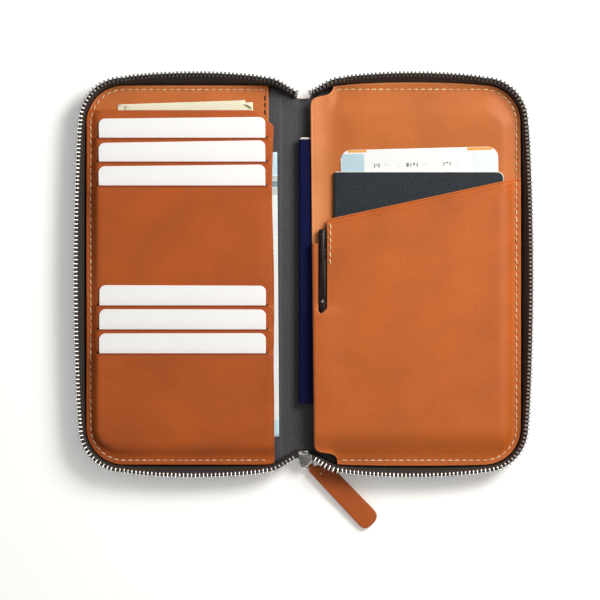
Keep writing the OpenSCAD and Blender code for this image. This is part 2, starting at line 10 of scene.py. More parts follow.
import json
import math
import random

import bpy
import numpy as np
from mathutils import Matrix, Vector
from mathutils.geometry import delaunay_2d_cdt


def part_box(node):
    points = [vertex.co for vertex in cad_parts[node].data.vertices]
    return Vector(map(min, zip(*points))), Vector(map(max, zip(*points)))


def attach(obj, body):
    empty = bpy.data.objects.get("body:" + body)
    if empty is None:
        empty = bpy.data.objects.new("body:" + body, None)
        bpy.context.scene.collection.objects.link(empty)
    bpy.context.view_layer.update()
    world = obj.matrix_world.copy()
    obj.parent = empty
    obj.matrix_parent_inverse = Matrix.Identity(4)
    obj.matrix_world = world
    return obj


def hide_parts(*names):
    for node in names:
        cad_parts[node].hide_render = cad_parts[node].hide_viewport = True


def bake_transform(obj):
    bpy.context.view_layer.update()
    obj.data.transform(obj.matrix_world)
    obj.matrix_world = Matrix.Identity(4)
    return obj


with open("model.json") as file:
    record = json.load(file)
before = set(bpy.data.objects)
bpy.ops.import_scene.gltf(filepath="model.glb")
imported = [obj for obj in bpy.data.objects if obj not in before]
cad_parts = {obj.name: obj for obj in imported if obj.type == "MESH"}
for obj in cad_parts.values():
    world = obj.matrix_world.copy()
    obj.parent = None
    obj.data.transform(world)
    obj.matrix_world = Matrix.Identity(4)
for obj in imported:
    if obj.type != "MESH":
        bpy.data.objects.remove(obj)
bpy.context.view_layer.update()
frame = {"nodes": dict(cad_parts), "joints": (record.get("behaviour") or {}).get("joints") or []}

MM = 0.001


# ---------------------------------------------------------------- measures from the frame

def span(node):
    """Lowest and highest corner of a CAD node, in mm."""
    lo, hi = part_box(node)
    return lo / MM, hi / MM


def joint_point(name):
    joint = next(j for j in frame["joints"] if j["name"] == name)
    return [c / MM for c in joint["pos_m"]]


HALF_W, Y_EDGE, SHELL_T = span("outer_shell_right")[1]
FOLD_X = joint_point("right_fold")[0]
CORNER_R = 20.0
DIP = 7.5               # how far the body is cut in at each end of the spine
DIP_W = 20.0            # half the width of that cut
SHELL_FOLD = 5.0        # how far each side of a fold the leather bends
PANEL_IN = 0.7          # from the body's edge to the panels' sewn edge
SEWN = 3.0              # from the body's edge to the line of stitches
MARGIN_W = 3.8          # sewn margin, up to where a panel rises out of it

CARDS = [f"card_{k + 1}" for k in range(6)]
CARD_TILT = math.radians(4)
CARD_SHOW = 10.0        # how much of a card stands out of its slot
CARD_T = 0.76
CARD_H = 54.0
CARD_R = 3.2
CARD_GAP = 0.12         # between a card and the leather behind it
CARD_X = (span("card_1")[0].x, span("card_1")[1].x)
CARD_MID = sum(CARD_X) / 2
CARD_TURNS = (0.6, 0.9, 0.6, -0.2, -0.1, 0.1)   # degrees that each card sits turned by
SLOT_Y = [span(c)[1].y - CARD_SHOW for c in CARDS]
SLOT_X = (CARD_X[0] - 0.9, CARD_X[1] + 0.9)
SHEET_T = 0.7
LIP_LIFT = 1.70         # how far the leather below a slot lies above the leather over it
SLOT_RISE = 0.84        # from one slot's level to the next in a group of three
SLOT_LEVEL = 6.9        # middle of the leather just above the first slot
LEFT_RIM = 5.6          # level of the card panel's front where it is sewn
LEFT_FREE = span("card_panel")[1].x
CARD_PANEL_TOP = span("card_panel")[1].y
BACK_FREE = span("left_back_panel")[1].x
BACK_TOP = span("left_back_panel")[1].z

FREE_X = span("right_inner_panel")[0].x
INNER_TOP = span("right_inner_panel")[1].z
INNER_RIM = 5.3
FLAP_Y = 90.3           # how far up and down the unsewn flap beside the spine reaches
NOTCH_X = 15.5          # where the notches end and the sewn edge begins
POCKET_TOP = 11.4
POCKET_RIM = 6.5
POCKET_T = 0.6
EDGE_ROLL = 1.3         # radius of the pocket's edge beside the spine
PEN_LO, PEN_HI = span("pen_cap")
PEN_X, PEN_Z = (PEN_LO.x + PEN_HI.x) / 2, (PEN_LO.z + PEN_HI.z) / 2
PEN_R = (PEN_HI.x - PEN_LO.x) / 2
SLIM_R = 1.6            # the barrel's lower part, inside the pocket
PEN_SLOT = (7.6, 12.0)  # the pen slot's sides
PEN_SLOT_LOW = -18.5
PEN_STRIP_Y = 16.2      # top of the narrow strip between the pen and the spine
MOUTH_LEFT_Y = 28.5     # the pocket's mouth at the pen slot
MOUTH_RIGHT_Y = 50.3    # and at the body's edge

CHAIN_Z = 8.9           # level of the teeth's feet round the halves
CHAIN_LOW_Z = 4.4       # and at the spine
CHAIN_OUT = 0.4         # from the body's edge out to the teeth's feet
CHAIN_BOW = 2.5         # how much further out they are in the middle of a side
CHAIN_X = 5.6           # the first tooth's place beside the spine's middle, at each end
TAPE_T = 0.5
WEB_W = 2.3             # how far the tape reaches between the teeth
CORD_R = 0.55
TOOTH_PITCH = 2.05
TOOTH_TILT = math.radians(41)
TOOTH_JITTER = 0.03     # the most that a tooth is turned off its line
ENDS_X = 14.0           # where the tape stops riding on its half and starts to bend with the spine
TOP_SHADE_Y = (84.0, 101.0)   # over which painted shade darkens the teeth towards the top

RIB_PITCH = 1.0
STITCH_IN = 1.8         # from a panel's free edge to the stitches beside it


# ---------------------------------------------------------------- plane geometry

def ease(t):
    """0 up to t = 0 and 1 from t = 1, with an even S between."""
    t = np.clip(t, 0.0, 1.0)
    return t * t * (3 - 2 * t)


def smooth_max(a, b, k=0.12):
    """The larger of a and b, rounded where they cross."""
    return (a + b + np.sqrt((a - b) ** 2 + k * k)) / 2 - k / 8


def hump(d, width):
    """1 at d = 0, falling off on both sides."""
    return np.exp(-(d / width) ** 2)


def dip(x):
    """How far the body's end is cut in at x."""
    return np.where(np.abs(x) < DIP_W, DIP * (1 + np.cos(np.pi * np.asarray(x) / DIP_W)) / 2, 0.0)


def edge_y(x):
    return float(Y_EDGE - dip(x))


def edge_slope(x):
    if abs(x) >= DIP_W:
        return 0.0
    return math.atan(DIP * math.sin(math.pi * x / DIP_W) * math.pi / DIP_W / 2)


def inset(x, y):
    """How far points lie inside the body's rounded outline."""
    qx = np.abs(x) - (HALF_W - CORNER_R)
    qy = np.abs(y) + dip(x) - (Y_EDGE - CORNER_R)
    corner = (qx > 0) & (qy > 0)
    return CORNER_R - np.where(corner, np.hypot(qx, qy), np.maximum(qx, qy))


def arc(cx, cy, r, a0, a1, n=10):
    angles = [math.radians(a0 + (a1 - a0) * i / n) for i in range(n + 1)]
    return [(cx + r * math.cos(a), cy + r * math.sin(a)) for a in angles]


def body_edge(x0, gap):
    """The body's edge from x0 at its top end to the corner's lower end, gap inside it."""
    n = max(1, math.ceil(DIP_W - x0))
    cut = [x0 + (DIP_W - x0) * i / n for i in range(n + 1)] if x0 < DIP_W else []
    return ([(x, edge_y(x) - gap) for x in cut]
            + arc(HALF_W - CORNER_R, Y_EDGE - CORNER_R, CORNER_R - gap, 90, 0, 16))


def body_loop(x0, gap):
    """The closed outline of the body's right half beyond x0, gap inside its edge."""
    top = body_edge(x0, gap)
    return [(x, -y) for x, y in top] + top[::-1]


def run_lengths(path):
    """How far along the path each of its points lies."""
    runs = [0.0]
    for p, q in zip(path, path[1:]):
        runs.append(runs[-1] + math.dist(p[:2], q[:2]))
    return runs


def mirrored(points):
    return [(-x, y) for x, y in reversed(points)]


def fillet(points, radii):
    """The closed outline with its corners rounded; radii gives one radius a point."""
    out = []
    for i, (p, r) in enumerate(zip(points, radii)):
        p = Vector(p)
        a, b = Vector(points[i - 1]) - p, Vector(points[(i + 1) % len(points)]) - p
        if r <= 0:
            out.append(tuple(p))
            continue
        half = a.angle(b) / 2
        reach = min(r / math.tan(half), 0.49 * a.length, 0.49 * b.length)
        start, end = p + a.normalized() * reach, p + b.normalized() * reach
        for k in range(6):
            t = k / 5
            out.append(tuple(start * (1 - t) ** 2 + p * 2 * t * (1 - t) + end * t * t))
    return out


def smooth_line(points, n=5):
    """A curve through the points."""
    pts = [Vector(points[0])] + [Vector(p) for p in points] + [Vector(points[-1])]
    out = []
    for a, b, c, d in zip(pts, pts[1:], pts[2:], pts[3:]):
        for k in range(n):
            t = k / n
            out.append(tuple(0.5 * (2 * b + (c - a) * t + (2 * a - 5 * b + 4 * c - d) * t * t
                                    + (3 * b - a - 3 * c + d) * t ** 3)))
    return out + [tuple(points[-1])]


def resample_open(path, gap):
    """The path with no side longer than gap."""
    out = []
    for a, b in zip(path, path[1:]):
        n = max(1, math.ceil(math.dist(a, b) / gap))
        if math.dist(a, b) > 1e-4:
            out += [(a[0] + (b[0] - a[0]) * i / n, a[1] + (b[1] - a[1]) * i / n) for i in range(n)]
    return out + [path[-1]]


def resample(loop, gap):
    return resample_open(loop + loop[:1], gap)[:-1]


def rectangle(x0, x1, y0, y1):
    return [(x0, y0), (x1, y0), (x1, y1), (x0, y1)]


def rounded_rectangle(x0, x1, y0, y1, r, left_r=None):
    """Its corners have radius r, or left_r on the left where that is given."""
    q = r if left_r is None else left_r
    return (arc(x1 - r, y1 - r, r, 0, 90) + arc(x0 + q, y1 - q, q, 90, 180)
            + arc(x0 + q, y0 + q, q, 180, 270) + arc(x1 - r, y0 + r, r, 270, 360))


def gap_to(points, loops):
    """Distance of each point from the nearest side of the closed loops."""
    best = np.full(len(points), 1e9)
    for loop in loops:
        a = np.array(loop, float)
        side = np.roll(a, -1, axis=0) - a
        length = np.maximum((side ** 2).sum(1), 1e-12)
        for i in range(0, len(points), 1500):
            p = points[i:i + 1500, None, :] - a[None]
            t = np.clip((p * side).sum(2) / length, 0, 1)
            d = np.sqrt(((p - t[..., None] * side) ** 2).sum(2)).min(1)
            best[i:i + 1500] = np.minimum(best[i:i + 1500], d)
    return best


def inside(points, loop):
    a = np.array(loop, float)
    b = np.roll(a, -1, axis=0)
    x, y = points[:, :1], points[:, 1:]
    crosses = (a[:, 1] > y) != (b[:, 1] > y)
    with np.errstate(divide="ignore", invalid="ignore"):
        at = a[:, 0] + (y - a[:, 1]) * (b[:, 0] - a[:, 0]) / (b[:, 1] - a[:, 1])
    return (crosses & (x < at)).sum(1) % 2 == 1


# ---------------------------------------------------------------- meshes

class Shape:
    """Points in mm with faces and, for each point, its rest place and how near an edge it is."""

    def __init__(self):
        self.points, self.faces, self.rest, self.edge, self.slots = [], [], [], [], []

    def add(self, points, faces, rest=None, edge=None, slot=0):
        base = len(self.points)
        self.points += [tuple(p) for p in points]
        self.faces += [tuple(base + i for i in f) for f in faces]
        self.rest += [tuple(p) for p in (points if rest is None else rest)]
        self.edge += [0.0] * len(points) if edge is None else [float(e) for e in edge]
        self.slots += [slot] * len(faces) if isinstance(slot, int) else list(slot)
        return self

    def place(self, matrix):
        self.points = [tuple(matrix @ Vector(p)) for p in self.points]
        return self

    def settle(self):
        """Takes the points' present place as their rest place."""
        self.rest = list(self.points)
        return self

    def flip(self):
        """Turns every face to look the other way."""
        self.faces = [f[::-1] for f in self.faces]
        return self

    def mirror(self):
        self.points = [(-x, y, z) for x, y, z in self.points]
        self.rest = [(-x, y, z) for x, y, z in self.rest]
        return self.flip()

    def join(self, other):
        return self.add(other.points, other.faces, other.rest, other.edge, other.slots)


def mirror_if(shape, side):
    """The shape, which is made for the right side, on its own side."""
    return shape.mirror() if side < 0 else shape


def side_name(side):
    return "left" if side < 0 else "right"


def move(x, y, z=0.0):
    return Matrix.Translation((x, y, z))


def turn(angle, axis="Z"):
    return Matrix.Rotation(angle, 4, axis)


def piece(name, shape, materials, body=None, stands_for=(), bend=None, smooth=True):
    """Makes the object. It rides on a body, or, where bend is given, stays unparented with its place baked
    in.
    """
    mesh = bpy.data.meshes.new(name)
    mesh.from_pydata([Vector(p) * MM for p in shape.points], [], shape.faces)
    mesh.validate()
    mesh.attributes.new("rest", "FLOAT_VECTOR", "POINT").data.foreach_set(
        "vector", np.array(shape.rest, np.float32).ravel())
    mesh.attributes.new("edge", "FLOAT", "POINT").data.foreach_set(
        "value", np.array(shape.edge, np.float32))
    for m in materials if isinstance(materials, list) else [materials]:
        mesh.materials.append(m)
    mesh.polygons.foreach_set("material_index", shape.slots)
    mesh.polygons.foreach_set("use_smooth", [smooth] * len(mesh.polygons))
    mesh.update()
    obj = bpy.data.objects.new(name, mesh)
    bpy.context.scene.collection.objects.link(obj)
    if bend:
        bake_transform(obj)
    else:
        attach(obj, body)
    if stands_for:
        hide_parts(*stands_for)
    return obj


EDGE_RINGS = (0.12, 0.3, 0.55, 0.9, 1.3, 1.7, 2.1, 2.5, 3.0, 4.0, 5.2, 6.6)


def sheet(outline, top, bottom, holes=(), extra=(), lines=(), step=2.5, along=1.6,
          rings=EDGE_RINGS, roll=0.32, region=None, edge_w=1.1):
    """A closed piece of leather, card or paper: top and bottom give its surfaces over the plane,
    roll is the radius of its edges, and region tells which material a face at (x, y) has."""
    loops = [resample(list(outline), along)] + [resample(list(h), along * 0.8) for h in holes]
    spots = []
    for loop in loops:
        a = np.array(loop)
        run = np.roll(a, -1, axis=0) - np.roll(a, 1, axis=0)
        length = np.maximum(np.linalg.norm(run, axis=1), 1e-9)
        normal = np.stack([-run[:, 1], run[:, 0]], 1) / length[:, None]
        for d in rings:
            for sign in (1, -1):
                ring = a + normal * d * sign
                spots.append(ring[(gap_to(ring, loops) > 0.94 * d) & inside(ring, loops[0])])
    lo, hi = np.array(loops[0]).min(0), np.array(loops[0]).max(0)
    rows = np.arange(lo[1], hi[1], step)
    grid = np.array([(x, y) for x in np.arange(lo[0], hi[0], step) for y in rows])
    grid = grid[inside(grid, loops[0])]
    spots.append(grid[gap_to(grid, loops) > rings[-1] + step * 0.4])
    if len(extra):
        more = np.array(extra)
        more = more[inside(more, loops[0])]
        spots.append(more[gap_to(more, loops) > 0.25])
    loose = np.concatenate(spots)
    for hole in loops[1:]:
        loose = loose[~inside(loose, hole)]
    loose = np.unique(np.round(loose, 3), axis=0)
    corners, sides = [], []
    for loop in loops + [resample(list(line), along) for line in lines]:
        first = len(corners)
        corners += loop
        sides += [(first + i, first + (i + 1) % len(loop)) for i in range(len(loop))]
    flat = [Vector(p) for p in corners] + [Vector(p) for p in loose]
    verts, _, faces, *_ = delaunay_2d_cdt(flat, sides, [], 0, 1e-4, False)
    p = np.array([tuple(v) for v in verts])
    tris = np.array([f for f in faces if len(f) == 3])
    middle = p[tris].mean(1)
    keep = inside(middle, loops[0])
    for hole in loops[1:]:
        keep &= ~inside(middle, hole)
    tris, middle = tris[keep], middle[keep]
    a, b, c = p[tris[:, 0]], p[tris[:, 1]], p[tris[:, 2]]
    area = (b[:, 0] - a[:, 0]) * (c[:, 1] - a[:, 1]) - (b[:, 1] - a[:, 1]) * (c[:, 0] - a[:, 0])
    tris[area < 0] = tris[area < 0][:, ::-1]
    used = np.unique(tris)
    index = np.full(len(p), -1)
    index[used] = np.arange(len(used))
    p, tris = p[used], index[tris]
    d = gap_to(p, loops)
    round_off = roll - np.sqrt(np.maximum(roll ** 2 - np.maximum(roll - d, 0) ** 2, 0))
    upper = top(p[:, 0], p[:, 1])
    lower = np.minimum(bottom(p[:, 0], p[:, 1]) + round_off * 0.8, upper - round_off - 0.02)
    upper = upper - round_off
    n = len(p)
    points = [(x, y, z) for (x, y), z in zip(p, upper)] + [(x, y, z) for (x, y), z in zip(p, lower)]
    slots = [0] * len(tris) if region is None else [region(*m) for m in middle]
    faces = [tuple(t) for t in tris.tolist()] + [tuple(i + n for i in t[::-1]) for t in tris.tolist()]
    slots += [0] * len(tris)
    seen = dict.fromkeys((t[k], t[(k + 1) % 3]) for t in tris.tolist() for k in range(3))
    walls = [(i, j) for i, j in seen if (j, i) not in seen]
    faces += [(j, i, i + n, j + n) for i, j in walls]
    slots += [0] * len(walls)
    edge = np.clip(1 - d / edge_w, 0, 1)
    return Shape().add(points, faces, None, np.concatenate([edge, edge]), slots)


def flat(level):
    return lambda x, y: np.full_like(np.asarray(x, float), level)


def tube(line, radii, sides=8, closed=False):
    """A round tube along the points of line, closed at its ends or into a loop."""
    pts = [Vector(p) for p in line]
    n = len(pts)
    up = Vector((0, 0, 1))
    points, faces = [], []
    for i, p in enumerate(pts):
        ahead = pts[(i + 1) % n] if closed or i < n - 1 else p
        behind = pts[i - 1] if closed or i > 0 else p
        run = (ahead - behind).normalized()
        side = run.cross(up if abs(run.z) < 0.9 else Vector((1, 0, 0))).normalized()
        other = run.cross(side)
        for k in range(sides):
            a = 2 * math.pi * k / sides
            points.append(p + (side * math.cos(a) + other * math.sin(a)) * radii[i])
    for i in range(n if closed else n - 1):
        for k in range(sides):
            a, b = i * sides + k, i * sides + (k + 1) % sides
            j = (i + 1) % n * sides
            faces.append((a, b, j + (k + 1) % sides, j + k))
    if not closed:
        faces += [tuple(range(sides))[::-1], tuple(range((n - 1) * sides, n * sides))]
    return Shape().add(points, faces)


def lathe(profile, sides=40):
    """A turned form about the Y axis: profile lists (y, radius) from its low end to its high end."""
    points, faces = [], []
    for y, r in profile:
        for k in range(sides):
            a = 2 * math.pi * k / sides
            points.append((r * math.cos(a), y, r * math.sin(a)))
    for i in range(len(profile) - 1):
        for k in range(sides):
            a, b = i * sides + k, i * sides + (k + 1) % sides
            faces.append((a, a + sides, b + sides, b))
    last = (len(profile) - 1) * sides
    faces += [tuple(range(sides)), tuple(range(last, last + sides))[::-1]]
    return Shape().add(points, faces)


def loft(sections):
    """Joins rings of the same number of points, with a cap at each end."""
    m, n = len(sections[0]), len(sections)
    points = [p for s in sections for p in s]
    faces = [(i * m + j, i * m + (j + 1) % m, (i + 1) * m + (j + 1) % m, (i + 1) * m + j)
             for i in range(n - 1) for j in range(m)]
    faces += [tuple(range(m))[::-1], tuple(range((n - 1) * m, n * m))]
    return Shape().add(points, faces)


def block(x, y, z, r):
    """A box with bevelled edges of r."""
    rows = []
    for level, pull in ((z[0], r), (z[0] + r, 0), (z[1] - r, 0), (z[1], r)):
        x0, x1, y0, y1 = x[0] + pull, x[1] - pull, y[0] + pull, y[1] - pull
        c = r * 0.8
        rows.append([(x0 + c, y0, level), (x1 - c, y0, level), (x1, y0 + c, level), (x1, y1 - c, level),
                     (x1 - c, y1, level), (x0 + c, y1, level), (x0, y1 - c, level), (x0, y0 + c, level)])
    return loft(rows)


# ---------------------------------------------------------------- materials

class Look:
    """One procedural material. Numbers that are the same all over sit on the shader's own sockets."""

    def __init__(self, name, color, roughness, **sockets):
        self.material = bpy.data.materials.new(name)
        self.material.use_nodes = True
        self.tree = self.material.node_tree
        self.shader = self.tree.nodes["Principled BSDF"]
        self.shader.inputs["Base Color"].default_value = (*color, 1)
        self.shader.inputs["Roughness"].default_value = roughness
        for socket, value in sockets.items():
            self.shader.inputs[socket.replace("_", " ")].default_value = value

    def node(self, kind, inputs=None, **settings):
        n = self.tree.nodes.new("ShaderNode" + kind)
        for key, value in settings.items():
            setattr(n, key, value)
        for key, value in (inputs or {}).items():
            if isinstance(value, bpy.types.NodeSocket):
                self.tree.links.new(value, n.inputs[key])
            else:
                n.inputs[key].default_value = value
        return n

    def rest(self):
        """Rest place in mm, from the mesh's own attribute."""
        return self.node("Attribute", attribute_name="rest").outputs["Vector"]

    def cad_place(self):
        """Place in mm on a CAD node."""
        at = self.node("TexCoord").outputs["Object"]
        return self.node("VectorMath", {0: at, "Scale": 1 / MM}, operation="SCALE").outputs[0]

    def edge(self):
        return self.node("Attribute", attribute_name="edge").outputs["Fac"]

    def part(self, at, axis):
        return self.node("SeparateXYZ", {0: at}).outputs[axis]

    def noise(self, at, size, detail=3.0):
        """Noise with features about size mm across."""
        return self.node("TexNoise", {"Vector": at, "Scale": 1 / size, "Detail": detail}).outputs["Fac"]

    def cells(self, at, size, feature="F1"):
        inputs = {"Vector": at, "Scale": 1 / size}
        return self.node("TexVoronoi", inputs, feature=feature).outputs["Distance"]

    def math(self, operation, *values):
        return self.node("Math", dict(enumerate(values)), operation=operation).outputs[0]

    def wave(self, value, pitch):
        """0 to 1 and back once every pitch along value."""
        turns = self.math("MULTIPLY", value, 2 * math.pi / pitch)
        return self.math("MULTIPLY_ADD", self.math("SINE", turns), 0.5, 0.5)

    def spread(self, value, a, b, high=1.0, low=0.0):
        """low where value is a, high where it is b."""
        return self.node("MapRange", {0: value, 1: a, 2: b, 3: low, 4: high}).outputs[0]

    def mix(self, share, a, b):
        n = self.node("Mix", data_type="RGBA")
        for socket, value in ((n.inputs[0], share), (n.inputs[6], a), (n.inputs[7], b)):
            if isinstance(value, bpy.types.NodeSocket):
                self.tree.links.new(value, socket)
            else:
                socket.default_value = (*value, 1)
        return n.outputs[2]

    def link(self, value, socket):
        self.tree.links.new(value, self.shader.inputs[socket])
        return self

    def paint(self, tone, *layers):
        """The base colour is tone, with each layer (colour, share) over it."""
        for color, share in layers:
            tone = self.mix(share, tone, color)
        return self.link(tone, "Base Color")

    def rough(self, field, low, high):
        return self.link(self.spread(field, 0.3, 0.7, high, low), "Roughness")

    def bump(self, *layers):
        """Each layer is (height from 0 to 1, depth in mm)."""
        normal = None
        for height, depth in layers:
            inputs = {"Height": height, "Distance": depth * MM, "Strength": 1.0}
            if normal is not None:
                inputs["Normal"] = normal
            normal = self.node("Bump", inputs).outputs[0]
        return self.link(normal, "Normal")


def shade(color, k):
    return tuple(min(1.0, c * k) for c in color)


def leather(name, color, edge_color, depth=0.05):
    """Grained leather, with edge_color where the mesh's edge attribute asks for it: real edge colour on
    the shell and the tab, pale edges that are partly painted highlight on the panels, and painted
    shade under the card slots.
    """
    look = Look(name, color, 0.58, Specular_IOR_Level=0.42)
    at = look.rest()
    patches, fine = look.noise(at, 26.0, 4.0), look.noise(at, 0.55)
    grain, pores = look.cells(at, 0.85, "SMOOTH_F1"), look.cells(at, 1.9)
    # the edge mix is real edge colour on some pieces, painted highlight and painted shade on others
    edge_wear_and_light = look.math("MULTIPLY", look.edge(), look.spread(patches, 0.3, 0.6, 0.85, low=0.55))
    look.paint(shade(color, 0.86), (shade(color, 1.12), look.spread(patches, 0.3, 0.7)),
               (shade(color, 0.62), look.spread(grain, 0.1, 0.75, 0.22)),
               (shade(color, 1.25), look.spread(fine, 0.35, 0.75, 0.25)), (edge_color, edge_wear_and_light))
    look.rough(fine, 0.52, 0.66)
    return look.bump((grain, depth), (pores, depth * 0.5), (fine, depth * 0.5)).material


def ribbed_lining():
    look = Look("ribbed_lining", (0.10, 0.095, 0.105), 0.85, Specular_IOR_Level=0.25)
    at = look.rest()
    along, across = look.wave(look.part(at, 1), 0.55), look.wave(look.part(at, 0), RIB_PITCH)
    fuzz = look.noise(at, 0.35, 4.0)
    look.paint((0.032, 0.032, 0.036), ((0.098, 0.097, 0.107), across),
               ((0.035, 0.035, 0.040), look.spread(along, 0.0, 1.0, 0.4)),
               ((0.18, 0.18, 0.20), look.spread(fuzz, 0.4, 0.7, 0.35)),
               ((0.06, 0.056, 0.062), look.spread(look.noise(at, 9.0), 0.35, 0.65, 0.25)))
    return look.bump((along, 0.06), (fuzz, 0.08)).material


def woven_tape():
    """Herringbone: the slant of the weave turns over every 1.3 mm across the tape."""
    look = Look("zip_tape", (0.02, 0.017, 0.016), 0.75, Specular_IOR_Level=0.3)
    at = look.rest()
    zigzag = look.math("PINGPONG", look.part(at, 1), 1.3)
    strand = look.wave(look.math("ADD", look.part(at, 0), zigzag), 1.5)
    fuzz = look.noise(at, 0.3)
    look.paint((0.0015, 0.001, 0.001), ((0.062, 0.053, 0.048), strand),
               ((0.02, 0.017, 0.016), look.spread(fuzz, 0.4, 0.7, 0.3)))
    return look.bump((strand, 0.12), (fuzz, 0.03)).material


def metal(name, color, dark, roughness, top_shade=0.0):
    """Worn metal; its last number darkens it towards the top end of the zip as painted shade."""
    look = Look(name, color, roughness, Metallic=1.0)
    at = look.rest()
    fine = look.noise(at, 0.18, 2.0)
    layers = [(dark, look.spread(look.noise(at, 1.4), 0.4, 0.75, 0.7))]
    if top_shade:
        # painted shade: the teeth turn darker towards the top end of the zip
        layers.append(((0.06, 0.055, 0.05), look.spread(look.part(at, 1), *TOP_SHADE_Y, top_shade)))
    look.paint(color, *layers).rough(fine, roughness * 0.75, roughness * 1.3)
    return look.bump((fine, 0.008)).material


def twisted_thread(name, low, high):
    look = Look(name, high, 0.6, Sheen_Weight=0.2)
    at = look.rest()
    ply = look.wave(look.math("ADD", look.part(at, 0), look.part(at, 1)), 0.5)
    look.paint(low, (high, look.spread(look.noise(at, 4.0, 2.0), 0.35, 0.65)),
               (shade(low, 0.6), look.spread(ply, 0.0, 1.0, 0.35)))
    return look.bump((ply, 0.08)).material


def card_plastic():
    look = Look("card_plastic", (0.93, 0.93, 0.935), 0.28, Specular_IOR_Level=0.5, Coat_Weight=0.15)
    at = look.rest()
    fine = look.noise(at, 0.12, 2.0)
    look.paint((0.925, 0.925, 0.94),
               ((0.945, 0.945, 0.955), look.spread(look.noise(at, 14.0, 2.0), 0.35, 0.65)))
    return look.rough(fine, 0.22, 0.36).bump((fine, 0.006)).material


def paper(name, color, tint, roughness=0.75, lines=None):
    """Paper or card, with fibres, and faint ruled waves where lines gives their pitch."""
    look = Look(name, color, roughness)
    at = look.rest()
    fibre = look.noise(at, 0.35, 4.0)
    layers = [(tint, look.spread(look.noise(at, 11.0), 0.35, 0.7))]
    if lines:
        sway = look.math("MULTIPLY_ADD", look.wave(look.part(at, 0), 7.0), 1.4, look.part(at, 1))
        layers.append((shade(tint, 0.72), look.spread(look.wave(sway, lines), 0.75, 1.0, 0.45)))
    look.paint(color, *layers, (shade(color, 0.9), look.spread(fibre, 0.45, 0.75, 0.25)))
    return look.bump((fibre, 0.015)).material


def page_edges():
    look = Look("page_edges", (0.80, 0.78, 0.72), 0.85)
    at = look.rest()
    leaf = look.wave(look.part(at, 2), 0.14)
    look.paint((0.62, 0.60, 0.54), ((0.88, 0.86, 0.80), leaf),
               ((0.72, 0.69, 0.62), look.spread(look.noise(at, 0.5), 0.4, 0.7, 0.3)))
    return look.bump((leaf, 0.03)).material


def twill_cloth():
    look = Look("notebook_twill", (0.012, 0.016, 0.09), 0.8, Specular_IOR_Level=0.06)
    at = look.rest()
    cord = look.wave(look.math("ADD", look.part(at, 0), look.part(at, 1)), 1.25)
    broken = look.noise(at, 0.4)
    look.paint((0.001, 0.0015, 0.010), ((0.010, 0.013, 0.078), cord),
               ((0.018, 0.023, 0.10), look.spread(broken, 0.5, 0.75, 0.35)))
    return look.bump((cord, 0.09), (broken, 0.03)).material


def passport_cover():
    look = Look("passport_cover", (0.02, 0.028, 0.036), 0.62, Specular_IOR_Level=0.22)
    at = look.rest()
    pebble, speck = look.cells(at, 0.62, "SMOOTH_F1"), look.noise(at, 0.4, 2.0)
    look.paint((0.024, 0.033, 0.042), ((0.005, 0.008, 0.012), look.spread(pebble, 0.1, 0.7)),
               ((0.014, 0.021, 0.029), look.spread(look.noise(at, 16.0), 0.35, 0.65, 0.5)),
               ((0.075, 0.088, 0.10), look.spread(speck, 0.5, 0.8, 0.4)))
    return look.bump((pebble, -0.07), (speck, 0.02)).material


def dark_plastic(name, color):
    look = Look(name, color, 0.4, Specular_IOR_Level=0.28)
    at = look.rest()
    fine = look.noise(at, 0.3)
    look.paint(color, (shade(color, 1.9), look.spread(look.noise(at, 5.0, 2.0), 0.3, 0.7)))
    return look.rough(fine, 0.28, 0.46).bump((fine, 0.01)).material


def fibre_board():
    look = Look("fibre_board", (0.16, 0.15, 0.14), 0.9)
    fibre = look.noise(look.cad_place(), 0.8, 5.0)
    look.paint((0.10, 0.09, 0.085), ((0.24, 0.225, 0.21), look.spread(fibre, 0.3, 0.7)))
    return look.bump((fibre, 0.05)).material


def pocket_cloth():
    look = Look("pocket_cloth", (0.08, 0.075, 0.08), 0.88)
    at = look.cad_place()
    weave = look.math("MULTIPLY", look.wave(look.part(at, 0), 0.6), look.wave(look.part(at, 1), 0.6))
    look.paint((0.045, 0.042, 0.048), ((0.13, 0.125, 0.135), weave))
    return look.bump((weave, 0.06)).material


TAN = (0.452, 0.097, 0.009)
# the pale edge colours of the pocket, back and inner panels are partly the raw edge's own colour and partly
# painted highlight where the edges face the light
PALE_EDGE_AND_HIGHLIGHT = (0.56, 0.16, 0.045)
pocket_leather = leather("pocket_leather", TAN, PALE_EDGE_AND_HIGHLIGHT)
# card_leather's dark edge colour is painted shade, laid under each card slot by the edge attribute
card_leather = leather("card_leather", (0.42, 0.080, 0.006), (0.17, 0.022, 0.003))
back_leather = leather("back_leather", (0.53, 0.138, 0.026), (0.58, 0.19, 0.06))
inner_leather = leather("inner_leather", (0.455, 0.115, 0.014), (0.80, 0.31, 0.12))
shell_leather = leather("shell_leather", shade(TAN, 0.95), (0.25, 0.06, 0.016), 0.07)
tab_leather = leather("tab_leather", (0.385, 0.074, 0.006), (0.22, 0.05, 0.010))

lining_cloth = ribbed_lining()
tape_weave = woven_tape()
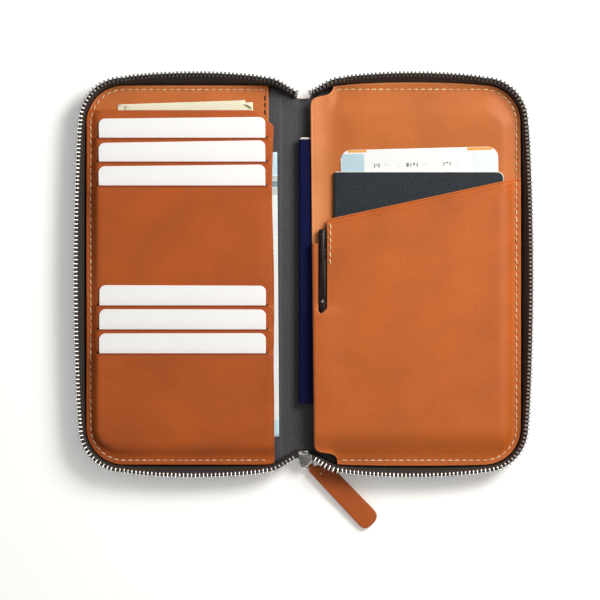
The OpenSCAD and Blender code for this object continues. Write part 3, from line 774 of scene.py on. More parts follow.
# the last number is the strength of the painted shade at the zip's top end
nickel = metal("zip_nickel", (0.68, 0.665, 0.64), (0.36, 0.335, 0.31), 0.36, 0.75)
slider_metal = metal("slider_metal", (0.30, 0.30, 0.30), (0.16, 0.16, 0.16), 0.42)
bright_metal = metal("bright_metal", (0.78, 0.77, 0.74), (0.45, 0.43, 0.40), 0.22)
thread = twisted_thread("thread", (0.62, 0.34, 0.15), (0.95, 0.74, 0.48))
dark_thread = twisted_thread("dark_thread", (0.035, 0.012, 0.006), (0.09, 0.03, 0.014))
card_white = card_plastic()
note_paper = paper("banknote_paper", (0.86, 0.82, 0.66), (0.80, 0.77, 0.58), lines=1.3)
note_back = paper("banknote_print", (0.20, 0.19, 0.07), (0.30, 0.28, 0.12))
ticket_white = paper("ticket_white", (0.88, 0.93, 0.95), (0.80, 0.88, 0.92), 0.6)
ticket_blue = paper("ticket_blue", (0.56, 0.82, 0.95), (0.64, 0.86, 0.95), 0.6, lines=2.2)
ticket_pale = paper("ticket_pale", (0.50, 0.58, 0.60), (0.62, 0.66, 0.66), 0.6)
ticket_grey = paper("ticket_grey", (0.20, 0.29, 0.36), (0.34, 0.44, 0.50), 0.6)
pass_white = paper("pass_white", (0.78, 0.78, 0.80), (0.76, 0.765, 0.785), 0.5)
pass_blue = paper("pass_blue", (0.40, 0.56, 0.65), (0.46, 0.60, 0.67), 0.5, lines=1.6)
pass_orange = paper("pass_orange", (0.66, 0.28, 0.045), (0.70, 0.33, 0.07), 0.5)
pass_pale = paper("pass_pale", (0.67, 0.73, 0.78), (0.70, 0.75, 0.80), 0.5)
pass_ink = paper("pass_ink", (0.14, 0.15, 0.17), (0.22, 0.23, 0.25), 0.5)
pass_faint = paper("pass_faint", (0.55, 0.56, 0.60), (0.62, 0.63, 0.66), 0.5)
pages = page_edges()
twill = twill_cloth()
passport_skin = passport_cover()
pen_black = dark_plastic("pen_black", (0.009, 0.005, 0.004))
board = fibre_board()
pocket_lining = pocket_cloth()


def keep_node(node, material):
    """Shows a CAD node as it is, in a new material."""
    mesh = frame["nodes"][node].data
    mesh.materials.clear()
    mesh.materials.append(material)


# ---------------------------------------------------------------- outer leather and lining

def fold(side):
    """The blend across one fold, from its half to the spine or from the spine to its half."""
    near = (side * (FOLD_X + SHELL_FOLD) * MM, 0, 0)
    far = (side * (FOLD_X - SHELL_FOLD) * MM, 0, 0)
    if side < 0:
        return "left_half", "spine", near, far
    return "spine", "right_half", far, near


SHELL_GROOVE = 0.22     # how deep the stitches lie in the outside
SPINE_OVERLAP = 0.4     # how far each side's leather runs past the middle of the spine


def shell_bottom(x, y):
    return SHELL_GROOVE * hump(inset(x, y) - SEWN, 0.5) * (np.abs(x) > ENDS_X)


def outer_leather(side):
    """One side's outer leather, from the middle of the spine; the two overlap there."""
    name = side_name(side)
    bend_points = [(x, y) for x in np.arange(0.8, 15, 0.8) for y in np.arange(-96, 96.1, 4)]
    shape = sheet(body_loop(-SPINE_OVERLAP, 0), flat(SHELL_T), shell_bottom, extra=bend_points, step=4.0,
                  rings=(0.12, 0.35, 0.8, 1.6, 2.4, 2.8, 3.2, 3.8), roll=0.4)
    nodes = [f"outer_shell_{name}"] + (["outer_shell_spine"] if side < 0 else [])
    piece(f"outer_leather_{name}", mirror_if(shape, side), shell_leather,
          stands_for=nodes, bend=fold(side))


RIB_H = 0.10
RIBBED_W = 23.0         # from the spine's middle to where the panels hide the ribs
LINING_LOW = 1.65       # level of the lining over the spine
LINING_T = 0.35
LINING_IN = 6.0         # from the body's edge to the lining's, under the panels
TAPE_X = 2.4            # the tapes' feet lie under the lining's ends from here on
TAPE_FOOT_W = 5.8
BOARD_X = 10.6          # where the lining starts to climb onto a board
BOARD_CLIMB = 2.2


def lining(side):
    """Ribbed lining: a fine grid where the ribs show, a plain one under the panels."""
    name = side_name(side)
    high = span(f"{name}_lining")[1].z
    last_x = HALF_W - LINING_IN
    columns = [*np.arange(0, RIBBED_W, RIB_PITCH / 6), *np.arange(RIBBED_W, last_x, 6.0), last_x]
    rows = np.linspace(-1, 1, 90)
    panel_x = 17.2 if side < 0 else NOTCH_X + 1.2
    grid = []
    for x in columns:
        over_tape = float(ease((x - TAPE_X) / 1.0))
        climb = float(ease((x - BOARD_X) / BOARD_CLIMB))
        gap = 0.05 + 0.65 * over_tape + 5.4 * float(ease((x - panel_x) / 0.9))
        reach = edge_y(x) - gap
        if x > HALF_W - CORNER_R:
            over = x - (HALF_W - CORNER_R)
            reach = Y_EDGE - CORNER_R + math.sqrt(max((CORNER_R - LINING_IN) ** 2 - over ** 2, 0.01))
        level = LINING_LOW + (high - LINING_LOW) * climb
        rib = RIB_H * (1 - abs(math.sin(math.pi * x / RIB_PITCH))) * (x < RIBBED_W)
        for y in reach * rows:
            on_foot = float(ease((TAPE_FOOT_W - float(inset(x, y))) / 1.4))
            grid.append((x, y, level - rib + over_tape * 0.5 * on_foot * (1 - climb)))
    n, m = len(rows), len(columns)
    total = n * m
    faces = []
    for a in (i * n + j for i in range(m - 1) for j in range(n - 1)):
        faces.append((a, a + n, a + n + 1, a + 1))
        faces.append((total + a, total + a + 1, total + a + n + 1, total + a + n))
    rim = list(range(n)) + [i * n + n - 1 for i in range(1, m)]
    rim += [(m - 1) * n + j for j in range(n - 2, -1, -1)] + [i * n for i in range(m - 2, 0, -1)]
    faces += [(a, b, total + b, total + a) for a, b in zip(rim, rim[1:] + rim[:1])]
    shape = Shape().add(grid + [(x, y, z - LINING_T) for x, y, z in grid], faces)
    nodes = [f"{name}_lining"] + (["spine_lining"] if side < 0 else [])
    piece(f"ribbed_lining_{name}", mirror_if(shape, side), lining_cloth,
          stands_for=nodes, bend=fold(side))


for half in (-1, 1):
    outer_leather(half)
    lining(half)
for hidden, stuff in (("left_board", board), ("right_board", board),
                      ("card_pocket_upper", pocket_lining), ("card_pocket_lower", pocket_lining)):
    keep_node(hidden, stuff)


# ---------------------------------------------------------------- left panels

def seam(x, y):
    """The shallow groove that the stitches have pulled along the body's edge."""
    return 0.2 * hump(inset(x, y) - SEWN, 0.55)


def back_panel_top(x, y):
    beside_spine = 0.15 * hump(x - (BACK_FREE - STITCH_IN), 0.5)
    return BACK_TOP - seam(x, y) - beside_spine


def panel_bottom(top, thickness, rim_low, margin):
    """Underside of a panel: one thickness below its top, and down to rim_low where it is sewn."""
    def bottom(x, y):
        return np.where(inset(x, y) < margin, rim_low, top(x, y) - thickness)
    return bottom


RIM_LOW = span("left_back_panel")[0].z
piece("back_panel", sheet(mirrored(body_loop(-BACK_FREE, PANEL_IN)), back_panel_top,
                          panel_bottom(back_panel_top, 0.8, RIM_LOW, MARGIN_W)),
      back_leather, "left_half", ["left_back_panel"])


def slot_level(k):
    """Middle of the leather just above slot k."""
    return SLOT_LEVEL + (k % 3) * SLOT_RISE


def slot_levels():
    """The card panel's level at some places in y, from low to high, before each slot lifts what is
    below it by LIP_LIFT."""
    all_lifts = len(SLOT_Y) * LIP_LIFT
    foot = [(-94.5, 6.6 - all_lifts), (-88, 8.0 - all_lifts), (-80, 8.9 - all_lifts)]
    slots = [(y, slot_level(k) - k * LIP_LIFT) for k, y in enumerate(SLOT_Y)]
    head = [(SLOT_Y[0] + 5, SLOT_LEVEL + 0.15), (CARD_PANEL_TOP - 4.5, SLOT_LEVEL + 0.25),
            (CARD_PANEL_TOP - 1.2, SLOT_LEVEL - 0.25), (CARD_PANEL_TOP + 1, SLOT_LEVEL - 0.55)]
    return zip(*foot, *reversed(slots), *head)


LEVEL_Y, LEVEL_Z = slot_levels()


def card_panel_top(x, y):
    """The front of the card panel: a step at each slot, sagging beside the spine between the two
    groups of slots, and sloping down to its seam."""
    past = np.maximum(np.maximum(x - SLOT_X[1], SLOT_X[0] - x), 0)
    width = 0.5 + 1.15 * past
    z = np.interp(y, LEVEL_Y, LEVEL_Z)
    for slot_y in SLOT_Y:
        z = z + LIP_LIFT * ease((slot_y - y) / width + 0.5)
        z = z - 0.30 * (hump(slot_y - 1.05 - y, 0.42) * (past < 0.1))
    between = ease((SLOT_Y[2] - 3 - y) / 6) * ease((y - SLOT_Y[3] - 9) / 8)
    sag = 0.45 * ease((x - (LEFT_FREE - 9)) / 9) * between
    field = z + SHEET_T / 2 - sag
    slope_w = 3.7 + 4.5 * ease((-84 - y) / 8)
    rise = ease((inset(x, y) - 3.3) / slope_w)
    edge_crease = 0.12 * hump(LEFT_FREE - 1.3 - x, 0.35)
    return LEFT_RIM + (field - LEFT_RIM) * rise - seam(x, y) - edge_crease * rise


def slot_hole(y):
    """A cut with a round punched hole at each end."""
    r = 0.5
    return arc(SLOT_X[0], y, r, 30, 330, 8) + arc(SLOT_X[1], y, r, 210, 510, 8)


def slot_end_points():
    """More points round each slot's ends, where the leather is stretched."""
    rises = [0.0, 0.3, 0.65, 1.05, 1.5, 2.1, 2.8, 3.7, 4.8]
    spots = []
    for slot_y in SLOT_Y:
        for out in np.arange(0.35, 6.6, 0.45):
            for dy in rises:
                for sign in (-1, 1):
                    spots += [(SLOT_X[0] - out, slot_y + dy * sign), (SLOT_X[1] + out, slot_y + dy * sign)]
    return spots


def slot_painted_shade(x, y):
    """Painted shade: 1 at the lower edge of a slot, fading out below it."""
    if not SLOT_X[0] < x < SLOT_X[1]:
        return 0.0
    return max(float(1 - ease((slot_y - y) / 2.6)) * (slot_y - y > -0.3) for slot_y in SLOT_Y)


def free_edge(y):
    """The card panel's slightly wavy edge beside the spine."""
    return LEFT_FREE - 1.1 * float(hump(y - 44, 32)) - 0.3 * float(hump(y + 45, 14))


def card_panel_outline():
    """The sewn edge from the left end of the top edge round to the spine, then the free edges."""
    rim = [p for p in mirrored(body_loop(-LEFT_FREE, PANEL_IN)) if p[1] < CARD_PANEL_TOP - 0.3]
    up = CARD_PANEL_TOP - Y_EDGE + CORNER_R
    left_x = CORNER_R - HALF_W - math.sqrt((CORNER_R - PANEL_IN) ** 2 - up ** 2)
    crown = fillet([rim[-1], (free_edge(77), 77), (-26.5, CARD_PANEL_TOP), (left_x, CARD_PANEL_TOP)],
                   [0, 3, 3.5, 0])
    return crown[1:] + rim + [(free_edge(y), y) for y in range(-80, 71, 5)]


slot_panel = sheet(card_panel_outline(), card_panel_top,
                   panel_bottom(card_panel_top, SHEET_T, 3.8, MARGIN_W),
                   holes=[slot_hole(y) for y in SLOT_Y], extra=slot_end_points(), step=2.6, roll=0.28)
# the card panel's edge attribute holds painted shade under the slots in place of nearness to an edge
slot_panel.edge = [slot_painted_shade(p[0], p[1]) for p in slot_panel.rest]
piece("card_slot_panel", slot_panel, card_leather, "left_half", ["card_panel"])


# ---------------------------------------------------------------- right panels

def free_x(y):
    """The right panels' free edge beside the spine, which leans a little."""
    return FREE_X - 0.19 - 0.0099 * y


def lean(t):
    """0 at both ends of a side, 1 at its middle."""
    return max(math.sin(math.pi * t), 0.0) ** 0.7


def notched_end(end, flap_y, step_x, rise, bulge):
    """One end of the inner panel, from the free edge round an S-shaped notch to the side's corner."""
    x0 = free_x(end * flap_y)
    notch = smooth_line([(x0, flap_y - 4), (x0 + 1, flap_y - 1.5), (x0 + 3.5, flap_y),
                         (step_x - 3, flap_y + 0.9 * rise), (step_x - 0.6, flap_y + 2.6 * rise),
                         (step_x, flap_y + 4.5 * rise), (step_x, edge_y(step_x) - PANEL_IN)])
    sewn = resample_open([p for p in body_edge(step_x, PANEL_IN) if p[0] > step_x + 0.3], 3.0)
    straight = HALF_W - CORNER_R - DIP_W
    return [(x, end * y) for x, y in notch] + [
        (x, end * (y + bulge * lean(min(max((x - DIP_W) / straight, 0), 1)))) for x, y in sewn]


def notched_outline():
    """The inner panel: each end has its own notch, and its top edge bulges more."""
    top = notched_end(1, FLAP_Y + 1.3, NOTCH_X, 1.4, 1.4)
    return top + notched_end(-1, FLAP_Y + 1.0, NOTCH_X + 1.8, 1.0, 0.5)[::-1]


def low_rise(y):
    """0 at the lower seam, 1 where a panel has risen out of it."""
    return ease((y + Y_EDGE - 3.4) / 14.5)


def free_flap(x):
    """1 over the unsewn strip beside the spine, 0 where the panel is sewn."""
    return ease((NOTCH_X + 2.5 - x) / 5)


def inner_panel_top(x, y):
    """The front of the inner panel: high over the notebook, down to its seams, half up at its flap."""
    slope_w = 7.0 + 7.0 * ease((y - 76) / 10)
    rise = smooth_max(ease((inset(x, y) - 3.2) / slope_w), 0.82 * free_flap(x))
    rise = np.minimum(rise, smooth_max(low_rise(y), 0.4 * free_flap(x)))
    stitched = 1 - free_flap(x)
    crease = 0.12 * hump(x - free_x(y) - 1.3, 0.35)
    return INNER_RIM + (INNER_TOP - INNER_RIM) * rise - seam(x, y) * stitched - crease


def inner_panel_bottom(x, y):
    sewn = (inset(x, y) < MARGIN_W) & (x > NOTCH_X)
    return np.where(sewn, RIM_LOW, inner_panel_top(x, y) - 0.75)


inner_panel = sheet(notched_outline(), inner_panel_top, inner_panel_bottom)
# the inner panel's edge attribute also carries a painted highlight over the strip beside the spine
inner_panel.edge = [max(e, 0.8 * float(ease((19 - p[0]) / 14)))     # painted highlight: pale beside the spine, where the flap catches the light
                    for e, p in zip(inner_panel.edge, inner_panel.rest)]
piece("inner_panel", inner_panel, inner_leather, "right_half", ["right_inner_panel"])


MOUTH_SLOPE = (MOUTH_RIGHT_Y - MOUTH_LEFT_Y) / (HALF_W - PEN_SLOT[1])


def mouth_y(x):
    """The passport pocket's slanting mouth."""
    return MOUTH_LEFT_Y + MOUTH_SLOPE * (x - PEN_SLOT[1])


def pocket_top(x, y):
    """The pocket's front: flat over the passport, a little higher over the pen, rolled down at its
    free edge, and sloping down to the seams."""
    pen = hump(np.maximum(x - PEN_X, 0), 9.0) * ease((PEN_SLOT_LOW + 4 - y) / 6) * ease((y + 74) / 14)
    field = POCKET_TOP - 0.2 + 1.0 * pen
    inward = np.maximum(1 - (x - free_x(y)) / EDGE_ROLL, 0)
    field = field - EDGE_ROLL * (1 - np.sqrt(np.maximum(1 - inward ** 2, 0)))
    side = ease((inset(x, y) - 3.4) / 6.2)
    rise = np.minimum(smooth_max(side, 0.62 * free_flap(x)), smooth_max(low_rise(y), 0.35 * free_flap(x)))
    z = POCKET_RIM + (field - POCKET_RIM) * rise - seam(x, y) * (1 - free_flap(x))
    below = (mouth_y(x) - y) / math.hypot(1, MOUTH_SLOPE)
    return z - 0.7 * hump(below - 1.15, 0.42) + 0.2 * hump(below - 2.1, 0.5)


def pocket_bottom(x, y):
    """Its back: down on the inner panel along the pen strip's free edge and along the seams."""
    top = pocket_top(x, y)
    closed = (x < free_x(y) + 0.9) & (y < PEN_STRIP_Y)
    sewn = (inset(x, y) < MARGIN_W) & (x > NOTCH_X)
    low = np.where(closed, np.minimum(inner_panel_top(x, y) + 0.05, top - POCKET_T), top - POCKET_T)
    return np.where(sewn, INNER_RIM + 0.1, low)


def pocket_outline():
    """Up the edge beside the spine, round the pen slot, along the mouth and back along the seams."""
    panel = notched_outline()
    right = [p for p in panel if p[0] > 60 and p[1] < mouth_y(HALF_W) - 1]
    lower = [p for p in panel if p[0] <= 60 and p[1] < 0]
    x1 = HALF_W - PANEL_IN
    first = fillet([(free_x(-80), -80), (free_x(PEN_STRIP_Y), PEN_STRIP_Y), (PEN_SLOT[0], PEN_STRIP_Y),
                    (PEN_SLOT[0], PEN_SLOT_LOW), (PEN_SLOT[0] + 1.4, PEN_SLOT_LOW - 1.6),
                    (PEN_SLOT[1] - 0.8, PEN_SLOT_LOW + 0.4), (PEN_SLOT[1], PEN_SLOT_LOW + 1.6),
                    (PEN_SLOT[1], mouth_y(PEN_SLOT[1])), (x1, mouth_y(x1))],
                   [0, 0.6, 0.3, 0.6, 0.8, 0.8, 0.6, 2.6, 0])
    return first + right + lower


piece("passport_pocket_front",
      sheet(pocket_outline(), pocket_top, pocket_bottom,
            extra=[(x, y) for x in np.arange(5.2, 15, 0.7) for y in np.arange(-72, -17, 1.8)]),
      pocket_leather, "right_half", ["passport_pocket"])


# ---------------------------------------------------------------- zip

# A station is a place on the body's edge: x, y, outward angle and lean, which is 0 to 1.

def station_at_end(x):
    return x, edge_y(x), math.pi / 2 + edge_slope(x), 0.0


def other_end(stations):
    return [(x, -y, -a, out) for x, y, a, out in stations]


def half_stations():
    """Stations from where the half's tape starts at the top, round to where it ends at the bottom."""
    top_to, side_to = HALF_W - CORNER_R, Y_EDGE - CORNER_R
    rows = [station_at_end(ENDS_X + (DIP_W - ENDS_X) * i / 4) for i in range(4)]
    n = 30
    rows += [(DIP_W + (top_to - DIP_W) * i / n, Y_EDGE, math.pi / 2, lean(i / n)) for i in range(n + 1)]
    for i in range(1, 16):
        a = math.pi / 2 * (1 - i / 16)
        rows.append((top_to + CORNER_R * math.cos(a), side_to + CORNER_R * math.sin(a), a, 0.0))
    m = 60
    rows += [(HALF_W, side_to * (1 - 2 * i / m), 0.0, lean(i / m)) for i in range(m + 1)]
    upper = [r for r in rows if r[1] > side_to]
    return rows + other_end(reversed(upper))


def foot_z(x):
    """Level of the teeth's feet, which comes down towards the spine."""
    return CHAIN_Z - (CHAIN_Z - CHAIN_LOW_Z) * float(ease((ENDS_X - abs(x)) / 10))


def tape_section(x, out):
    """The tape's section, outwards and up: a sewn foot, a wall that leans out, and a corded edge that
    runs on between the legs of the teeth."""
    z, o = foot_z(x), CHAIN_OUT + CHAIN_BOW * out
    line = [Vector((-4.0, 1.55)), Vector((-1.2, 1.58))]
    line += [Vector((o * t ** 1.4 - 0.1, 2.0 + (z - 2.3) * t)) for t in (0.0, 0.2, 0.45, 0.7, 0.9, 1.0)]
    line += [Vector((o + w * math.cos(TOOTH_TILT), z + w * math.sin(TOOTH_TILT))) for w in (0.5, WEB_W)]
    inner, outer = [], []
    for i, p in enumerate(line):
        run = (line[min(i + 1, len(line) - 1)] - line[max(i - 1, 0)]).normalized()
        side = Vector((-run.y, run.x)) * TAPE_T / 2
        inner.append(p + side)
        outer.append(p - side)
    turns = [TOOTH_TILT + math.radians(a) for a in (125, 80, 40, 0, -40, -80, -125)]
    cord = [line[-1] + Vector((math.cos(a), math.sin(a))) * CORD_R for a in turns]
    return inner[:-1] + cord + outer[:-1][::-1]


def tape_strip(stations):
    """Tape along the stations. Its rest place is how far along and how far across the weave it is."""
    sections, rest = [], []
    for (x, y, a, out), run in zip(stations, run_lengths(stations)):
        section = tape_section(x, out)
        sections.append([(x + u * math.cos(a), y + u * math.sin(a), w) for u, w in section])
        rest += [(run, across, 0.0) for across in run_lengths(section)]
    shape = loft(sections)
    shape.rest = rest
    return shape.flip()


# a tooth's sections: how far out from its foot, half its width and half its height
TOOTH = [(1.0, 0.42, 0.74), (1.2, 0.58, 0.98), (1.8, 0.61, 1.02), (2.2, 0.56, 0.86), (2.7, 0.47, 0.64),
         (3.3, 0.53, 0.70), (3.8, 0.48, 0.56), (4.02, 0.28, 0.30)]


def tooth(x, y, z, angle, nod):
    """One metal tooth: legs that grip the tape, a waist and a head."""
    ring = [(1, 0.45), (0.55, 1), (-0.55, 1), (-1, 0.45), (-1, -0.45), (-0.55, -1), (0.55, -1), (1, -0.45)]
    sections = [[(u, half_w * v, half_t * w) for v, w in ring] for u, half_w, half_t in TOOTH]
    return loft(sections).place(move(x, y, z) @ turn(angle) @ turn(-TOOTH_TILT + nod, "Y")).settle()


def chain_spots(offset):
    """Place and outward angle of each tooth's foot, evenly along a chain from its top end to its
    bottom end; offset is a share of the pitch."""
    line = []
    start = [station_at_end(CHAIN_X + (ENDS_X - CHAIN_X) * i / 8) for i in range(8)]
    for x, y, a, out in start + half_stations() + other_end(reversed(start)):
        o = CHAIN_OUT + CHAIN_BOW * out
        line.append((x + o * math.cos(a), y + o * math.sin(a), foot_z(x), a))
    runs = run_lengths(line)
    columns = list(zip(*line))
    count = round(runs[-1] / TOOTH_PITCH)
    for k in range(count):
        d = (k + 0.25 + offset) * runs[-1] / count
        yield tuple(float(np.interp(d, runs, c)) for c in columns)


def zip_half(side):
    """One side's tape and teeth, and their short ends beside the spine."""
    name = side_name(side)
    body = f"{name}_half"
    piece(f"zip_tape_{name}", mirror_if(tape_strip(half_stations()), side), tape_weave,
          body, [f"{name}_zip_tape"])
    draws, loose = random.Random(7 + side), (-TOOTH_JITTER, TOOTH_JITTER)
    teeth, end_teeth = Shape(), {1: Shape(), -1: Shape()}
    for x, y, z, a in chain_spots(0.5 if side < 0 else 0.0):
        made = tooth(x, y, z, a + draws.uniform(*loose), draws.uniform(*loose))
        row = end_teeth[1 if y > 0 else -1] if x < ENDS_X else teeth
        row.join(made)
    piece(f"zip_teeth_{name}", mirror_if(teeth, side), nickel, body, [f"{name}_zip_teeth"])
    for end, label, inner in ((1, "top", 3.4), (-1, "bottom", 2.6)):
        stations = [station_at_end(inner + (ENDS_X - inner) * i / 18) for i in range(19)]
        strip = tape_strip(stations) if end > 0 else tape_strip(other_end(stations)).flip()
        for_all = side < 0 < end    # the CAD has all four ends in one node
        piece(f"zip_tape_{name}_{label}_end", mirror_if(strip, side), tape_weave,
              stands_for=["zip_tape_ends"] if for_all else (), bend=fold(side))
        piece(f"zip_teeth_{name}_{label}_end", mirror_if(end_teeth[end], side), nickel,
              stands_for=["zip_teeth_ends"] if for_all else (), bend=fold(side))


for half in (-1, 1):
    zip_half(half)


def top_stops():
    shape = Shape()
    x = 4.1     # beside the spine's middle
    for side in (1, -1):
        stop = block((0.2, 3.6), (-0.8, 0.8), (-1.3, 1.3), 0.35)
        stop.place(move(x, edge_y(x) + 0.2, CHAIN_LOW_Z) @ turn(math.pi / 2 + edge_slope(x))
                   @ turn(-TOOTH_TILT, "Y"))
        shape.join(mirror_if(stop.settle(), side))
    piece("top_stops", shape, nickel, "spine", ["zip_top_stops"])


def bottom_stop():
    lo, hi = span("zip_bottom_stop")
    piece("bottom_stop", block((lo.x, hi.x), (lo.y, hi.y), (lo.z, hi.z), 0.3), slider_metal,
          "spine", ["zip_bottom_stop"])


top_stops()
bottom_stop()


# ---------------------------------------------------------------- slider and pull

SLIDER_X, SLIDER_Y, RING_Z = joint_point("pull_swivel")
WING_W = 7.4
WING_L = 6.0


def slider():
    """Two domed wings with rolled flanges, a wedge between them and a post for the ring."""
    wing = fillet([(-0.6, -WING_L / 2), (0.6, -WING_L / 2), (WING_W / 2, 1.0), (WING_W / 2 - 0.5, WING_L / 2),
                   (0.0, WING_L / 2 - 0.5), (0.5 - WING_W / 2, WING_L / 2), (-WING_W / 2, 1.0)],
                  [0.5, 0.5, 0.8, 0.5, 0.8, 0.5, 0.8])
    slim = (0.08, 0.2, 0.4, 0.7)

    def dome(level):
        return lambda x, y: level - 0.18 * (x / (WING_W / 2)) ** 2 - 0.10 * (y / (WING_L / 2)) ** 2

    lo, hi = span("zip_slider")
    upper = sheet(wing, dome(hi.z), flat(hi.z - 0.75), rings=slim, step=0.6, along=0.5, roll=0.22)
    lower = sheet(wing, flat(5.15), flat(4.45), rings=slim, step=0.6, along=0.5, roll=0.22)
    shape = upper.join(lower)
    for side in (1, -1):
        for level in ((5.0, 5.65), (6.5, 7.15)):
            rail = block((0, 3.6), (-0.22, 0.22), level, 0.1)
            rail.place(move(1.0, -WING_L / 2 + 0.9) @ turn(math.radians(65)))
            shape.join(mirror_if(rail, side))
    shape.join(loft([[(-1.1, 2.7, z), (-0.5, -1.4, z), (0.5, -1.4, z), (1.1, 2.7, z)] for z in (5.0, 7.1)]))
    post = lathe([(lo.z, 1.7), (lo.z + 0.15, 2.05), (lo.z + 0.45, 2.05), (lo.z + 0.6, 1.25), (4.5, 1.2)], 28)
    shape.join(post.place(Matrix(((1, 0, 0, 0), (0, 0, 1, 0), (0, 1, 0, 0), (0, 0, 0, 1)))))
    shape.place(move(SLIDER_X, SLIDER_Y)).settle()
    piece("slider", shape, slider_metal, "spine", ["zip_slider"])


TAB_DIR = math.radians(-47)
TAB_L = 48.0
TAB_W = 10.8
TAB_SIDES = (-2.6, 7.7, 8.6)   # left edge, right edge near the ring, right edge at the far end
TAB_MID = 2.7           # the ring holds the tab by its near corner
STITCH_X = 10.6
TAB_T = 2.1
TAB_SLOPE = math.radians(2.3)
PIVOT = 4.7
SHOULDER = PIVOT + 1.5
TONGUE = 2.6
RING_R = 3.3
WIRE_R = 0.45


def pull_frame():
    """From the pull's own frame, with +X along the tab, to the organizer's."""
    return move(SLIDER_X, SLIDER_Y) @ turn(TAB_DIR)


def ring():
    centre = Vector((PIVOT - RING_R, 0, RING_Z))
    line = [centre + Vector((RING_R * math.cos(a), RING_R * math.sin(a), 0))
            for a in (2 * math.pi * i / 56 for i in range(56))]
    shape = tube(line, [WIRE_R] * 56, 14, closed=True).place(pull_frame())
    piece("ring", shape, bright_metal, "pull_ring", ["pull_ring"])


def tab():
    outline = fillet(
        [(PIVOT - 1.3, -TONGUE / 2), (SHOULDER - 1.4, -TONGUE / 2 - 0.2), (SHOULDER - 0.6, TAB_SIDES[0]),
         (TAB_L, TAB_SIDES[0]), (TAB_L, TAB_SIDES[2]), (SHOULDER + 4.2, TAB_SIDES[1]),
         (SHOULDER + 0.2, TONGUE + 0.3), (SHOULDER - 0.5, TONGUE / 2), (PIVOT - 1.3, TONGUE / 2)],
        [0.5, 0.3, 0.6, 4.2, 5.2, 1.2, 0.6, 0.3, 0.5])

    def top(x, y):
        sewn = 0.25 * hump(np.hypot(x - STITCH_X, (np.abs(y - TAB_MID) - 1.3) * 0.8), 1.1)
        return TAB_T - 0.10 * ((y - TAB_MID) / (TAB_W / 2)) ** 4 - sewn * (x > SHOULDER)

    place = pull_frame() @ move(0, 0, RING_Z - TAB_T / 2 + 0.05) @ turn(TAB_SLOPE, "Y")
    shape = sheet(outline, top, flat(0.0), rings=(0.12, 0.3, 0.5, 0.8, 1.2, 1.7), step=0.9, along=0.8,
                  roll=0.5, edge_w=0.5)
    piece("leather_tab", shape.place(place), tab_leather, "pull_tab", ["pull_tab"])
    threads = Shape()
    for v in (TAB_MID - 1.3, TAB_MID + 1.3):
        line = [(STITCH_X, v - 0.6 + 0.2 * i, TAB_T - 0.15 + 0.34 * math.sin(math.pi * i / 6))
                for i in range(7)]
        threads.join(tube(line, [0.2, 0.26, 0.28, 0.28, 0.28, 0.26, 0.2], 8))
    piece("tab_threads", threads.place(place), thread, "pull_tab", ["pull_tab_stitches"])


slider()
ring()
tab()


# ---------------------------------------------------------------- stitches

STITCH_PITCH = 3.6
STITCH_L = 2.75
STITCH_SLANT = math.radians(7)
STITCH_R = 0.35


def stitch(x, y, z, angle, up=1):
    """One stitch: a short arch of thread whose ends dive into the leather."""
    n = 8
    line, radii = [], []
    for i in range(n + 1):
        t = 2 * i / n - 1
        line.append((t * STITCH_L / 2, 0.0, up * (0.30 - 0.6 * t ** 4)))
        radii.append(STITCH_R * (1 - 0.3 * t ** 4))
    return tube(line, radii, 7).place(move(x, y, z) @ turn(angle))


def stitches(path, surface, up=1):
    """Stitches every pitch along the path, on a surface that gives z at (x, y)."""
    runs = run_lengths(path)
    xs, ys = zip(*path)
    shape = Shape()
    draws = random.Random(len(path))
    d = STITCH_PITCH / 2
    while d < runs[-1] - STITCH_PITCH / 3:
        x, y = np.interp(d, runs, xs), np.interp(d, runs, ys)
        ahead = np.interp(d + 0.5, runs, xs) - np.interp(d - 0.5, runs, xs)
        aside = np.interp(d + 0.5, runs, ys) - np.interp(d - 0.5, runs, ys)
        angle = math.atan2(aside, ahead) + STITCH_SLANT + draws.uniform(-0.05, 0.05)
        shape.join(stitch(x, y, float(surface(np.array(x), np.array(y))), angle, up))
        d += STITCH_PITCH
    return shape.settle()


def sewn_path(x0):
    """The stitch line of one half: from x0 at the top, round, to x0 at the bottom."""
    top = body_edge(x0, SEWN)
    return resample_open(top + [(x, -y) for x, y in reversed(top)], 2.0)


def left_surface(x, y):
    return np.where(y > CARD_PANEL_TOP, back_panel_top(x, y), card_panel_top(x, y))


def right_surface(x, y):
    return np.where(y > mouth_y(x), inner_panel_top(x, y), pocket_top(x, y))


left_path = [(-x, y) for x, y in sewn_path(-BACK_FREE + STITCH_IN)]
right_path = [p for p in sewn_path(NOTCH_X + 0.8) if p[1] > 0 or p[0] > NOTCH_X + 3.4]
spine_row = [(BACK_FREE - STITCH_IN, y) for y in np.arange(93, 81.5, -1.0)]
piece("left_seam", stitches(left_path, left_surface), thread, "left_half", ["left_stitching"])
piece("spine_side_seam", stitches(spine_row, back_panel_top), dark_thread, "left_half")
piece("right_seam", stitches(right_path, right_surface), thread, "right_half", ["right_stitching"])
pen_row = [(PEN_SLOT[1] + 1.9 - 0.4 * i / 10, 26.6 - 2.36 * i) for i in range(11)]
piece("pen_slot_seam", stitches(pen_row, pocket_top), thread, "right_half", ["pocket_stitching"])
for half in (-1, 1):
    outside = stitches([(half * x, y) for x, y in sewn_path(ENDS_X + 3)], flat(SHELL_GROOVE + 0.14), up=-1)
    piece(f"outer_seam_{side_name(half)}", outside, thread, f"{side_name(half)}_half")


# ---------------------------------------------------------------- contents of the left half


